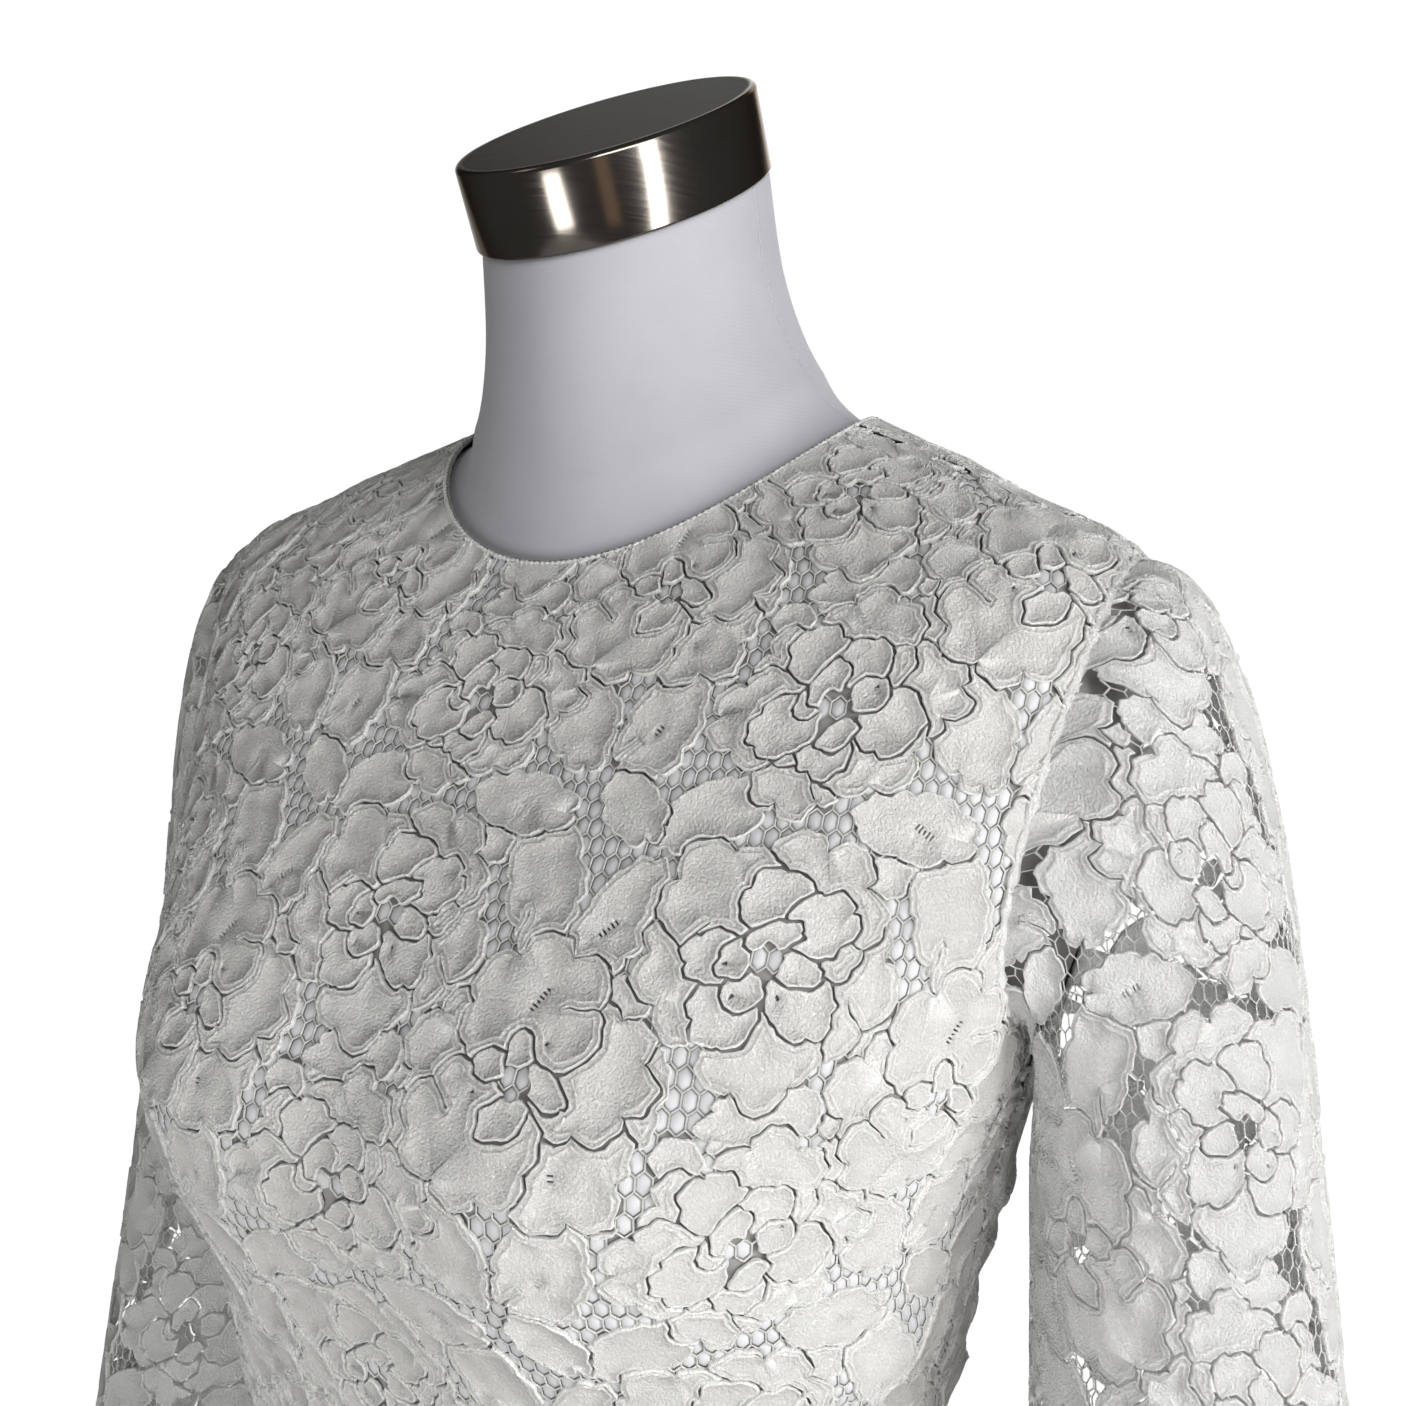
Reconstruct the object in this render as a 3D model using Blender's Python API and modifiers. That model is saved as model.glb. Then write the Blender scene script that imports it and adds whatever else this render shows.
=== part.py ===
"""Corded lace party dress on a limbless dress form, in metres.

+Z is up, the wearer's front faces -Y and the wearer's left is +X. The origin is
the middle of the stand's underside. Cloth surfaces are rings (angle 0 at the
front, 90 degrees at the wearer's left) at levels that run from hem to neck.
"""
from collections import namedtuple
from math import atan2, cos, degrees, hypot, pi, radians, sin

import bmesh
import bpy
import numpy as np
from mathutils import Matrix, Vector
from mathutils.geometry import delaunay_2d_cdt

MM = 0.001
COLLECTION = "party_dress_on_form"

# Walls, counted inwards from the lace's outer face
SEAM = 0.3 * MM
LACE_WALL = 1.2 * MM
LINING_DEPTH = LACE_WALL + SEAM
LINING_WALL = 1.0 * MM
FORM_DEPTH_BODY = 5.6 * MM
FORM_DEPTH_NECK = 3.6 * MM
LINING_HEM_LEVEL = 0.18
Cloth = namedtuple("Cloth", "material depth wall first_level")
LACE = Cloth("lace", 0.0, LACE_WALL, 0.0)
LINING = Cloth("lining", LINING_DEPTH, LINING_WALL, LINING_HEM_LEVEL)

# Rings of the dress's outer face, hem to neckline, then the bare neck
Station = namedtuple("Station", "centre_y height tilt half_width front back side_lift square")
STATIONS = {
    "hem": Station(0.000, 0.500, 0.0, 0.208, 0.152, 0.164, 0.000, 2.00),
    "thigh": Station(0.000, 0.610, 0.0, 0.198, 0.140, 0.153, 0.000, 2.00),
    "low_hip": Station(0.000, 0.720, 0.0, 0.185, 0.126, 0.140, 0.000, 2.05),
    "hip": Station(0.000, 0.820, 0.0, 0.170, 0.112, 0.127, 0.000, 2.10),
    "high_hip": Station(0.000, 0.915, 0.0, 0.146, 0.101, 0.107, 0.000, 2.10),
    "waist": Station(-0.001, 1.000, 0.0, 0.1235, 0.0935, 0.085, 0.000, 2.10),
    "ribs": Station(-0.001, 1.085, 0.0, 0.1305, 0.108, 0.0965, 0.000, 2.20),
    "bust": Station(-0.002, 1.168, 0.0, 0.1480, 0.138, 0.108, 0.000, 2.32),
    "armpit": Station(-0.007, 1.218, 0.0, 0.1620, 0.123, 0.112, 0.000, 2.36),
    "shoulder": Station(0.003, 1.297, 1.3, 0.186, 0.095, 0.103, 0.0475, 2.08),
    "yoke": Station(0.003, 1.343, 11.0, 0.134, 0.079, 0.0915, 0.0375, 2.10),
    "neckline": Station(0.0075, 1.373, 19.3, 0.080, 0.0705, 0.074, 0.0293, 2.00),
    "neck_low": Station(0.001, 1.399, 22.1, 0.062, 0.0633, 0.0654, 0.0165, 2.00),
    "neck_middle": Station(-0.0085, 1.437, 26.3, 0.0503, 0.0602, 0.0608, 0.0035, 2.00),
    "neck_top": Station(-0.018, 1.475, 30.4, 0.0465, 0.0593, 0.0593, 0.000, 2.00),
}
LEVEL = {name: index for index, name in enumerate(STATIONS)}
TABLE = np.array(list(STATIONS.values()))
FORM_BOTTOM_LEVEL = 1.85
FORM_FIRST_STEP = 0.2
LEVEL_HEIGHT_COLUMN = Station._fields.index("height")

# Bust cups, as a soft bump on each side
Cup = namedtuple("Cup", "side height depth half_width half_height")
CUP = Cup(0.0847, 1.172, 0.0171, 0.0446, 0.0486)

# Large folds of the body: a positive lift stands out
Fold = namedtuple("Fold", "angle height half_length half_width lift lean")
FOLDS = (
    Fold(-40.0, 1.060, 0.080, 0.017, 0.0055, 38.0),
    Fold(-62.0, 1.030, 0.070, 0.016, 0.0050, 44.0),
    Fold(-20.0, 1.010, 0.070, 0.018, 0.0040, 34.0),
    Fold(70.0, 1.118, 0.045, 0.014, 0.0055, 82.0),
    Fold(76.0, 1.070, 0.042, 0.014, 0.0055, 80.0),
    Fold(74.0, 1.020, 0.045, 0.015, 0.0050, 82.0),
    Fold(128.0, 1.060, 0.060, 0.018, 0.0050, -60.0),
    Fold(-132.0, 1.035, 0.065, 0.018, 0.0050, 62.0),
    Fold(156.0, 0.985, 0.060, 0.018, 0.0045, -80.0),
    Fold(-158.0, 0.965, 0.060, 0.018, 0.0045, 80.0),
)
FOLD_GIRTH_RADIUS = 0.13

# Step for slopes, in radians and levels
SLOPE_STEP = 0.01

# Armholes, in levels and degrees
ARMHOLE_LOW = 8.03
ARMHOLE_TOP = 9.23
ARMHOLE_FRONT = 67.0
ARMHOLE_BACK = 110.0
ARMHOLE_BEND = 0.45

# Sleeves: the section under the arm, the hem, and how the cap leaves the armhole
Section = namedtuple("Section", "x y height half_width half_depth")
SLEEVE_ARM = Section(0.1975, 0.0250, 1.170, 0.0430, 0.0560)
SLEEVE_HEM = Section(0.2270, 0.0310, 0.900, 0.0560, 0.0630)
SLEEVE_CAP_OUT = 0.036
SLEEVE_CAP_OUT_TOP = 0.35
SLEEVE_CAP_RISE = 0.056
SLEEVE_CAP_RISE_TOP = 0.40
SLEEVE_CAP_LEAN = 0.12
SLEEVE_WAVES = 5
SLEEVE_WAVE_LIFT = 0.0035
SLEEVE_WAVE_START = 0.8

# Mesh steps
SKIRT_ROWS = 5
BODICE_ROWS = 9
ARMHOLE_ROWS = 8
YOKE_ROWS = 4
HALF_COLUMNS = 7
NECK_ROWS = 5
SLEEVE_GRID = 30.0
SLEEVE_GRID_EDGE_CLEARANCE = 12.0
SLEEVE_GRID_GAP_CLEARANCE = 10.5
SLEEVE_EDGE_STEPS = 12
SLEEVE_SIDE_STEPS = 14
PATTERN_TURNS = 73
PATTERN_RUNS = 31

# Lace repeat in millimetres; angles in degrees
REPEAT_ACROSS = 118.0
REPEAT_DOWN = 156.0
Flower = namedtuple("Flower", "across down radius petals turn squash")
FLOWERS = (
    Flower(28.0, 34.0, 35.0, 5, 12.0, 0.94),
    Flower(88.0, 74.0, 36.0, 5, 52.0, 0.92),
    Flower(32.0, 116.0, 32.0, 6, -14.0, 1.00),
)
Leaf = namedtuple("Leaf", "across down length width turn lobes")
LEAVES = (
    Leaf(78.0, 18.0, 45.0, 23.0, 66.0, 6),
    Leaf(103.0, 28.0, 39.0, 20.0, 112.0, 6),
    Leaf(60.0, 50.0, 27.0, 16.0, 35.0, 4),
    Leaf(-2.0, 74.0, 37.0, 20.0, 96.0, 6),
    Leaf(34.0, 76.0, 31.0, 18.0, 165.0, 4),
    Leaf(72.0, 121.0, 41.0, 22.0, 62.0, 6),
    Leaf(99.0, 124.0, 39.0, 23.0, 100.0, 6),
    Leaf(62.0, 150.0, 35.0, 18.5, 10.0, 4),
    Leaf(4.0, 150.0, 37.0, 17.5, -24.0, 4),
    Leaf(98.0, 150.0, 25.0, 15.0, 40.0, 4),
    Leaf(52.0, 92.0, 21.0, 12.0, -60.0, 4),
)
Bud = namedtuple("Bud", "across down radius")
BUDS = (
    Bud(56.0, 76.0, 6.0),
    Bud(66.0, 100.0, 5.5),
    Bud(112.0, 48.0, 6.0),
    Bud(56.0, 8.0, 6.0),
    Bud(14.0, 88.0, 5.5),
    Bud(112.0, 104.0, 5.5),
)
Petal = namedtuple("Petal", "across down half_length half_width angle lobes notch phase")
PETAL_REACH = 0.56
PETAL_HALF_LENGTH = 0.52
PETAL_HALF_WIDTH = {5: 0.528, 6: 0.448}
PETAL_SWELL = 0.10
PETAL_TWIST = 0.25
PETAL_NOTCH = 0.15
LEAF_NOTCH = 0.12
LOBE_ROUNDNESS = 0.55
EDGE_WAVER = 0.04
BASE_LOBE_SHARE = 0.3
BUD_SQUASH = 0.85

# Net between the flowers, in millimetres
CELL_ACROSS = 4.4
CELL_DOWN = 7.2
CELL_ROW_STEP = 5.4
CELL_THREAD = 0.9
CELL_SHOULDER = 0.45
CELL_CLEARANCE = 2.6
CELLS_PER_REPEAT = 14
SLEEVE_EDGE_CLEARANCE = 6.0

# Neck cap, stand and zip pull
CAP_HEIGHT = 0.0277
CAP_EDGE = 0.0016
CAP_OVERHANG = 0.0016
CAP_TAPER = 0.995
CAP_SIDES = 40
POLE_RADIUS = 0.0125
FLANGE_RADIUS = 0.042
FLANGE_HEIGHT = 0.006
BASE_RADIUS = 0.180
BASE_HEIGHT = 0.012
BASE_TOP_HEIGHT = 0.0102
BASE_TOP_SHARE = 0.8
BASE_RIM = 0.006
BASE_SIDES = 36
POLE_SIDES = 24
BEVEL = 0.002
HUB_RADIUS = 0.024
HUB_HEIGHT = 0.030
ZIP_LEVEL = 10.72
SLIDER_LENGTH = 0.0085
SLIDER_WIDTH = 0.0056
SLIDER_PLATE = 0.0008
ARCH_SPAN = 0.0048
ARCH_RISE = 0.0024
ARCH_RADIUS = 0.0004
TAB_LENGTH = 0.024
TAB_WIDTH = 0.0058
TAB_THICKNESS = 0.0008
TAB_EYE = 0.0042
TAB_SIDE = 0.0013
TAB_BAR_OFFSET = 0.0011

# Colour, roughness and metallic value of each material
Finish = namedtuple("Finish", "colour roughness metallic")
FINISHES = {
    "lace": Finish((0.80, 0.79, 0.75), 0.80, 0.0),
    "lining": Finish((0.74, 0.72, 0.69), 0.70, 0.0),
    "jersey": Finish((0.66, 0.67, 0.72), 0.90, 0.0),
    "cap_metal": Finish((0.10, 0.09, 0.085), 0.28, 1.0),
    "stand_steel": Finish((0.42, 0.42, 0.43), 0.30, 1.0),
    "zip_metal": Finish((0.72, 0.71, 0.68), 0.25, 1.0),
}


def clear_scene():
    """Remove what the file holds at the start."""
    for item in list(bpy.data.objects):
        bpy.data.objects.remove(item, do_unlink=True)


def make_collection(name):
    collection = bpy.data.collections.new(name)
    bpy.context.scene.collection.children.link(collection)
    return collection


def make_material(name):
    finish = FINISHES[name]
    material = bpy.data.materials.new(name)
    material.use_nodes = True
    shader = material.node_tree.nodes["Principled BSDF"]
    shader.inputs["Base Color"].default_value = (*finish.colour, 1.0)
    shader.inputs["Roughness"].default_value = finish.roughness
    shader.inputs["Metallic"].default_value = finish.metallic
    return material


def add_object(name, mesh, material_name, collection):
    """Put a mesh in the scene as one named piece."""
    mesh.materials.append(make_material(material_name))
    piece = bpy.data.objects.new(name, mesh)
    collection.objects.link(piece)
    return piece


def mesh_from_points(name, points, faces):
    mesh = bpy.data.meshes.new(name)
    mesh.from_pydata([tuple(point) for point in points], [], faces)
    mesh.update()
    return mesh


def wall_mesh(name, outer, normals, faces, thickness):
    """Closed cloth wall between an open outer face and its copy moved inwards."""
    count = len(outer)
    inner = outer - normals * thickness
    closed = [tuple(face) for face in faces]
    closed += [tuple(count + corner for corner in reversed(face)) for face in faces]
    directed = {(face[i], face[(i + 1) % len(face)]) for face in faces for i in range(len(face))}
    for start, end in sorted(directed):
        if (end, start) not in directed:
            closed.append((end, start, count + start, count + end))
    return mesh_from_points(name, np.concatenate([outer, inner]), closed)


def ring_values(level):
    """Station values at a level, on a smooth curve through the table."""
    last = len(TABLE) - 1
    level = np.clip(level, 0.0, last - 1e-9)
    index = np.floor(level).astype(int)
    t = (level - index)[..., None]
    before = TABLE[np.maximum(index - 1, 0)]
    start = TABLE[index]
    end = TABLE[np.minimum(index + 1, last)]
    after = TABLE[np.minimum(index + 2, last)]
    slope = end - before
    bend = 2.0 * before - 5.0 * start + 4.0 * end - after
    twist = 3.0 * start - before - 3.0 * end + after
    return start + 0.5 * (slope * t + bend * t ** 2 + twist * t ** 3)


def fold_lift(angle, height):
    """How far the folds lift the cloth at an angle (radians) and a height."""
    lift = np.zeros(np.shape(height))
    for fold in FOLDS:
        bearing = (angle - radians(fold.angle) + pi) % (2.0 * pi) - pi
        across = bearing * FOLD_GIRTH_RADIUS
        up = height - fold.height
        along = across * sin(radians(fold.lean)) + up * cos(radians(fold.lean))
        aside = across * cos(radians(fold.lean)) - up * sin(radians(fold.lean))
        shape = np.exp(-(aside / fold.half_width) ** 2 - (along / fold.half_length) ** 2)
        lift = lift + fold.lift * shape
    return lift


def body_point(angle, level, folded=True):
    """Outer face of the dress, and of the neck above it; smooth without its folds."""
    angle, level = np.broadcast_arrays(np.asarray(angle, float), np.asarray(level, float))
    ring = Station(*np.moveaxis(ring_values(level), -1, 0))
    side, front = np.sin(angle), np.cos(angle)
    power = 2.0 / ring.square
    across = ring.half_width * np.sign(side) * np.abs(side) ** power
    reach = np.where(front > 0.0, ring.front, ring.back)
    depth = reach * np.sign(front) * np.abs(front) ** power
    tilt = np.radians(ring.tilt)
    height = ring.height - depth * np.sin(tilt) + ring.side_lift * side ** 2
    cup = np.exp(-((np.abs(across) - CUP.side) / CUP.half_width) ** 2 / 2.0
                 - ((height - CUP.height) / CUP.half_height) ** 2 / 2.0)
    y = ring.centre_y - depth * np.cos(tilt) - CUP.depth * cup * np.clip(front, 0.0, 1.0)
    if not folded:
        return np.stack([across, y, height], -1)
    lift = fold_lift(np.arctan2(side, front), height)
    return np.stack([across + lift * side, y - lift * front, height], -1)


def unit(vectors):
    return vectors / np.linalg.norm(vectors, axis=-1, keepdims=True)


def body_normal(angle, level, folded=True):
    ahead = body_point(angle + SLOPE_STEP, level, folded)
    around = ahead - body_point(angle - SLOPE_STEP, level, folded)
    low = np.maximum(np.asarray(level, float) - SLOPE_STEP, 0.0)
    upward = body_point(angle, low + 2.0 * SLOPE_STEP, folded) - body_point(angle, low, folded)
    return unit(np.cross(around, upward))


def armhole_share(level):
    """0 at the armhole's top and bottom, 1 at its middle."""
    middle = (ARMHOLE_LOW + ARMHOLE_TOP) / 2.0
    half = (ARMHOLE_TOP - ARMHOLE_LOW) / 2.0
    place = np.clip((level - middle) / half, -1.0, 1.0)
    return (1.0 - place ** 2) ** ARMHOLE_BEND


def front_limit(level):
    return np.radians(90.0 - (90.0 - ARMHOLE_FRONT) * armhole_share(level))


def back_limit(level):
    return np.radians(90.0 + (ARMHOLE_BACK - 90.0) * armhole_share(level))


def panel_levels():
    """Rows of the bodice panels, closer together round the armhole."""
    skirt = np.linspace(0.0, LEVEL["waist"], SKIRT_ROWS + 1)
    bodice = np.linspace(LEVEL["waist"], ARMHOLE_LOW, BODICE_ROWS + 1)[1:]
    turn = np.linspace(0.0, pi, ARMHOLE_ROWS + 1)[1:]
    armhole = ARMHOLE_LOW + (ARMHOLE_TOP - ARMHOLE_LOW) * (1.0 - np.cos(turn)) / 2.0
    yoke = np.linspace(ARMHOLE_TOP, LEVEL["neckline"], YOKE_ROWS + 1)[1:]
    return np.concatenate([skirt, bodice, armhole, yoke])


def grid_faces(rows, columns):
    faces = []
    for row in range(rows - 1):
        for column in range(columns - 1):
            corner = row * columns + column
            opposite = corner + columns + 1
            faces.append((corner, corner + 1, opposite))
            faces.append((corner, opposite, opposite - 1))
    return faces


def bodice_panel(name, cloth, start, end, columns, collection):
    """One cut panel between two edges that are functions of the level."""
    levels = panel_levels()
    levels[0] = cloth.first_level
    share = np.linspace(0.0, 1.0, columns)
    low, high = start(levels)[:, None], end(levels)[:, None]
    angle = low + (high - low) * share
    level = np.repeat(levels[:, None], columns, axis=1)
    normals = body_normal(angle, level)
    points = body_point(angle, level) - cloth.depth * normals
    points[:, 0] += unit(points[:, 1] - points[:, 0]) * SEAM / 2.0
    points[:, -1] += unit(points[:, -2] - points[:, -1]) * SEAM / 2.0
    faces = grid_faces(len(levels), columns)
    mesh = wall_mesh(name, points.reshape(-1, 3), normals.reshape(-1, 3), faces, cloth.wall)
    return add_object(name, mesh, cloth.material, collection)


def build_bodice(cloth, collection):
    """Front and two back panels, parted at the side, shoulder and centre-back seams."""
    def centre_back(level):
        return np.full(np.shape(level), pi)

    def right_limit(level):
        return -front_limit(level)

    def mirrored_back(level):
        return 2.0 * pi - back_limit(level)

    name = cloth.material
    half = HALF_COLUMNS + 1
    bodice_panel(name + "_front", cloth, right_limit, front_limit, 2 * HALF_COLUMNS + 1, collection)
    bodice_panel(name + "_back_left", cloth, back_limit, centre_back, half, collection)
    bodice_panel(name + "_back_right", cloth, centre_back, mirrored_back, half, collection)


def armhole_point(turn):
    """Edge of the left armhole: 0 at the shoulder, 90 degrees at the front."""
    middle = (ARMHOLE_LOW + ARMHOLE_TOP) / 2.0
    half = (ARMHOLE_TOP - ARMHOLE_LOW) / 2.0
    level = middle + half * np.cos(turn)
    angle = np.where(np.sin(turn) > 0.0, front_limit(level), back_limit(level))
    return body_point(angle, level)


def sleeve_section(turn, share):
    """Ring of the hanging part: share 0 under the arm, 1 at the hem."""
    place = [a + (b - a) * share for a, b in zip(SLEEVE_ARM, SLEEVE_HEM)]
    ring = Section(*place)
    wave = SLEEVE_WAVE_LIFT * share ** 2 * np.cos(SLEEVE_WAVES * turn + SLEEVE_WAVE_START)
    x = ring.x + (ring.half_width + wave) * np.cos(turn)
    y = ring.y - (ring.half_depth + wave) * np.sin(turn)
    return np.stack([x, y, ring.height + 0.0 * turn], -1)


def sleeve_point(turn, run):
    """Outer face of the left sleeve: run 0 to 1 is the cap, 1 to 2 hangs."""
    turn, run = np.broadcast_arrays(np.asarray(turn, float), np.asarray(run, float))
    armhole = armhole_point(turn)
    arm = sleeve_section(turn, np.zeros(turn.shape))
    axis = unit(sleeve_section(turn, np.ones(turn.shape)) - arm)
    outward = unit(np.array([1.0, 0.0, SLEEVE_CAP_LEAN]))
    leave = (SLEEVE_CAP_OUT * (1.0 - SLEEVE_CAP_OUT_TOP * (1.0 - np.cos(turn))))[..., None]
    rise = (SLEEVE_CAP_RISE * (1.0 - SLEEVE_CAP_RISE_TOP * (1.0 - np.cos(turn))))[..., None]
    first = armhole + outward * leave
    second = arm - axis * rise
    t = np.clip(run, 0.0, 1.0)[..., None]
    cap = ((1 - t) ** 3 * armhole + 3 * (1 - t) ** 2 * t * first
           + 3 * (1 - t) * t ** 2 * second + t ** 3 * arm)
    hang = sleeve_section(turn, np.clip(run - 1.0, 0.0, 1.0))
    return np.where((run <= 1.0)[..., None], cap, hang)


def sleeve_normal(turn, run):
    around = sleeve_point(turn + SLOPE_STEP, run) - sleeve_point(turn - SLOPE_STEP, run)
    low = np.clip(np.asarray(run, float) - SLOPE_STEP, 0.0, 2.0 - 2.0 * SLOPE_STEP)
    onward = sleeve_point(turn, low + 2.0 * SLOPE_STEP) - sleeve_point(turn, low)
    return unit(np.cross(around, onward))


class SleevePattern:
    """Flat pattern of the sleeve: across from the outer arm line, and down."""

    def __init__(self):
        self.turns = np.linspace(-pi, pi, PATTERN_TURNS)
        cap, hanging = np.linspace(0.0, 1.0, PATTERN_RUNS), np.linspace(1.0, 2.0, PATTERN_RUNS)
        self.runs = np.concatenate([cap, hanging[1:]])
        turn, run = np.meshgrid(self.turns, self.runs, indexing="ij")
        surface = sleeve_point(turn, run)
        steps = np.linalg.norm(np.diff(surface, axis=1), axis=-1)
        length = np.concatenate([np.zeros((len(self.turns), 1)), np.cumsum(steps, axis=1)], axis=1)
        self.down = length - length[:, PATTERN_RUNS - 1:PATTERN_RUNS]
        self.arm_radius = hypot(SLEEVE_ARM.half_width, SLEEVE_ARM.half_depth) / 2.0 ** 0.5
        self.hem_radius = hypot(SLEEVE_HEM.half_width, SLEEVE_HEM.half_depth) / 2.0 ** 0.5
        self.hem_down = float(self.down[:, -1].mean())

    def radius(self, down):
        share = np.clip(np.asarray(down) / self.hem_down, 0.0, 1.0)
        return self.arm_radius + (self.hem_radius - self.arm_radius) * share

    def head(self, turn):
        """Pattern height of the armhole edge."""
        return float(np.interp(turn, self.turns, self.down[:, 0]))

    def point(self, across, down):
        """Place and outward direction of a pattern point on the left sleeve."""
        turn = float(np.clip(across / self.radius(down), -pi, pi))
        place = (turn + pi) / (2.0 * pi) * (len(self.turns) - 1)
        index = min(int(place), len(self.turns) - 2)
        share = place - index
        column = self.down[index] * (1.0 - share) + self.down[index + 1] * share
        run = float(np.interp(down, column, self.runs))
        return sleeve_point(turn, run), sleeve_normal(turn, run)


def lace_petals():
    """Every petal, leaf and bud of one repeat of the lace."""
    petals = []
    for k, flower in enumerate(FLOWERS):
        for i in range(flower.petals):
            angle = radians(flower.turn) + 2.0 * pi * i / flower.petals
            swell = 1.0 + PETAL_SWELL * sin(2.3 * i + k)
            widen = 1.0 + PETAL_SWELL * cos(3.1 * i + 2.0 * k)
            reach = flower.radius * PETAL_REACH * swell
            petals.append(Petal(
                flower.across + reach * cos(angle),
                flower.down + reach * sin(angle) * flower.squash,
                flower.radius * PETAL_HALF_LENGTH * swell,
                flower.radius * PETAL_HALF_WIDTH[flower.petals] * widen,
                angle + PETAL_TWIST * sin(2.0 * i + k), 3 + (i + k) % 2, PETAL_NOTCH, 0.9 * i + k))
    for k, leaf in enumerate(LEAVES):
        petals.append(Petal(leaf.across, leaf.down, leaf.length / 2.0, leaf.width / 2.0,
                            radians(leaf.turn), leaf.lobes, LEAF_NOTCH, 0.7 * k))
    for bud in BUDS:
        half_width = bud.radius * BUD_SQUASH
        petals.append(Petal(bud.across, bud.down, bud.radius, half_width, 0.3, 0, 0.0, 0.0))
    return petals


def petal_depth(petal, across, down):
    """Distance inside a petal's edge; negative outside it."""
    x = (across - petal.across + REPEAT_ACROSS / 2.0) % REPEAT_ACROSS - REPEAT_ACROSS / 2.0
    y = (down - petal.down + REPEAT_DOWN / 2.0) % REPEAT_DOWN - REPEAT_DOWN / 2.0
    along = (x * cos(petal.angle) + y * sin(petal.angle)) / petal.half_length
    aside = (y * cos(petal.angle) - x * sin(petal.angle)) / petal.half_width
    radius = max(hypot(along, aside), 1e-6)
    edge = 1.0
    if petal.lobes:
        bearing = atan2(aside, along)
        bump = abs(cos(petal.lobes * bearing / 2.0 + petal.phase)) ** LOBE_ROUNDNESS
        outer = BASE_LOBE_SHARE + (1.0 - BASE_LOBE_SHARE) * (0.5 + 0.5 * cos(bearing))
        edge += EDGE_WAVER * sin(2.0 * bearing + 3.0 * petal.phase)
        edge -= 2.0 * petal.notch * (1.0 - bump) * outer
    slope = hypot(along / petal.half_length, aside / petal.half_width) / radius
    slope = max(slope, 1.0 / max(petal.half_length, petal.half_width))
    return (edge - radius) / slope


def net_cells():
    """Middles of the largest net cells of one repeat, clear of every petal."""
    petals = lace_petals()
    cells = []
    rows = round(REPEAT_DOWN / CELL_ROW_STEP)
    columns = round(REPEAT_ACROSS / CELL_ACROSS)
    for row in range(rows):
        for column in range(columns):
            across = (column + 0.5 * (row % 2)) * REPEAT_ACROSS / columns
            down = row * REPEAT_DOWN / rows
            clearance = -max(petal_depth(petal, across, down) for petal in petals)
            if clearance > CELL_CLEARANCE:
                cells.append((clearance, across, down))
    cells.sort(reverse=True)
    return [(across, down) for _, across, down in cells[:CELLS_PER_REPEAT]]


def cell_corners(across, down):
    """Six corners of one gap in the net."""
    half_width = (CELL_ACROSS - CELL_THREAD) / 2.0
    half_height = (CELL_DOWN - CELL_THREAD) / 2.0
    shoulder = half_height * CELL_SHOULDER
    return [
        (across, down - half_height), (across + half_width, down - shoulder),
        (across + half_width, down + shoulder), (across, down + half_height),
        (across - half_width, down + shoulder), (across - half_width, down - shoulder),
    ]


def sleeve_outline(pattern, first_turn, last_turn):
    """Flat outline of a sleeve half in millimetres, along its edges in order."""
    hem = pattern.hem_down - 1e-5
    turns = np.linspace(first_turn, last_turn, SLEEVE_EDGE_STEPS + 1)
    head = [(turn * float(pattern.radius(pattern.head(turn))), pattern.head(turn) + SEAM)
            for turn in turns]
    side_down = np.linspace(head[-1][1], hem, SLEEVE_SIDE_STEPS + 1)[1:]
    far_side = [(last_turn * float(pattern.radius(down)), down) for down in side_down]
    low = [(turn * float(pattern.radius(hem)), hem) for turn in turns[::-1][1:]]
    side_up = np.linspace(hem, head[0][1], SLEEVE_SIDE_STEPS + 1)[1:-1]
    near_side = [(first_turn * float(pattern.radius(down)), down) for down in side_up]
    return [(x / MM, y / MM) for x, y in head + far_side + low + near_side]


def inside(outline, x, y):
    """True where a flat point lies inside a closed outline."""
    result = False
    for (x1, y1), (x2, y2) in zip(outline, outline[1:] + outline[:1]):
        if (y1 > y) != (y2 > y) and x < (x2 - x1) * (y - y1) / (y2 - y1) + x1:
            result = not result
    return result


def edge_clearance(points, x, y):
    """Distance from a flat point to the nearest of some others."""
    return min(hypot(x - px, y - py) for px, py in points)


def sleeve_gaps(outline, pattern):
    """Net cells that fall on one sleeve half, clear of its edges."""
    xs, ys = [p[0] for p in outline], [p[1] for p in outline]
    gaps = []
    for across, down in net_cells():
        for i in range(int(min(xs) // REPEAT_ACROSS) - 1, int(max(xs) // REPEAT_ACROSS) + 2):
            for j in range(int(min(ys) // REPEAT_DOWN) - 1, int(max(ys) // REPEAT_DOWN) + 2):
                x, y = across + i * REPEAT_ACROSS, down + j * REPEAT_DOWN
                probes = [(x + dx, y + dy) for dx in (-SLEEVE_EDGE_CLEARANCE, SLEEVE_EDGE_CLEARANCE)
                          for dy in (-SLEEVE_EDGE_CLEARANCE, SLEEVE_EDGE_CLEARANCE)]
                if all(inside(outline, *probe) for probe in probes):
                    gaps.append((x, y))
    return gaps


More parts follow.
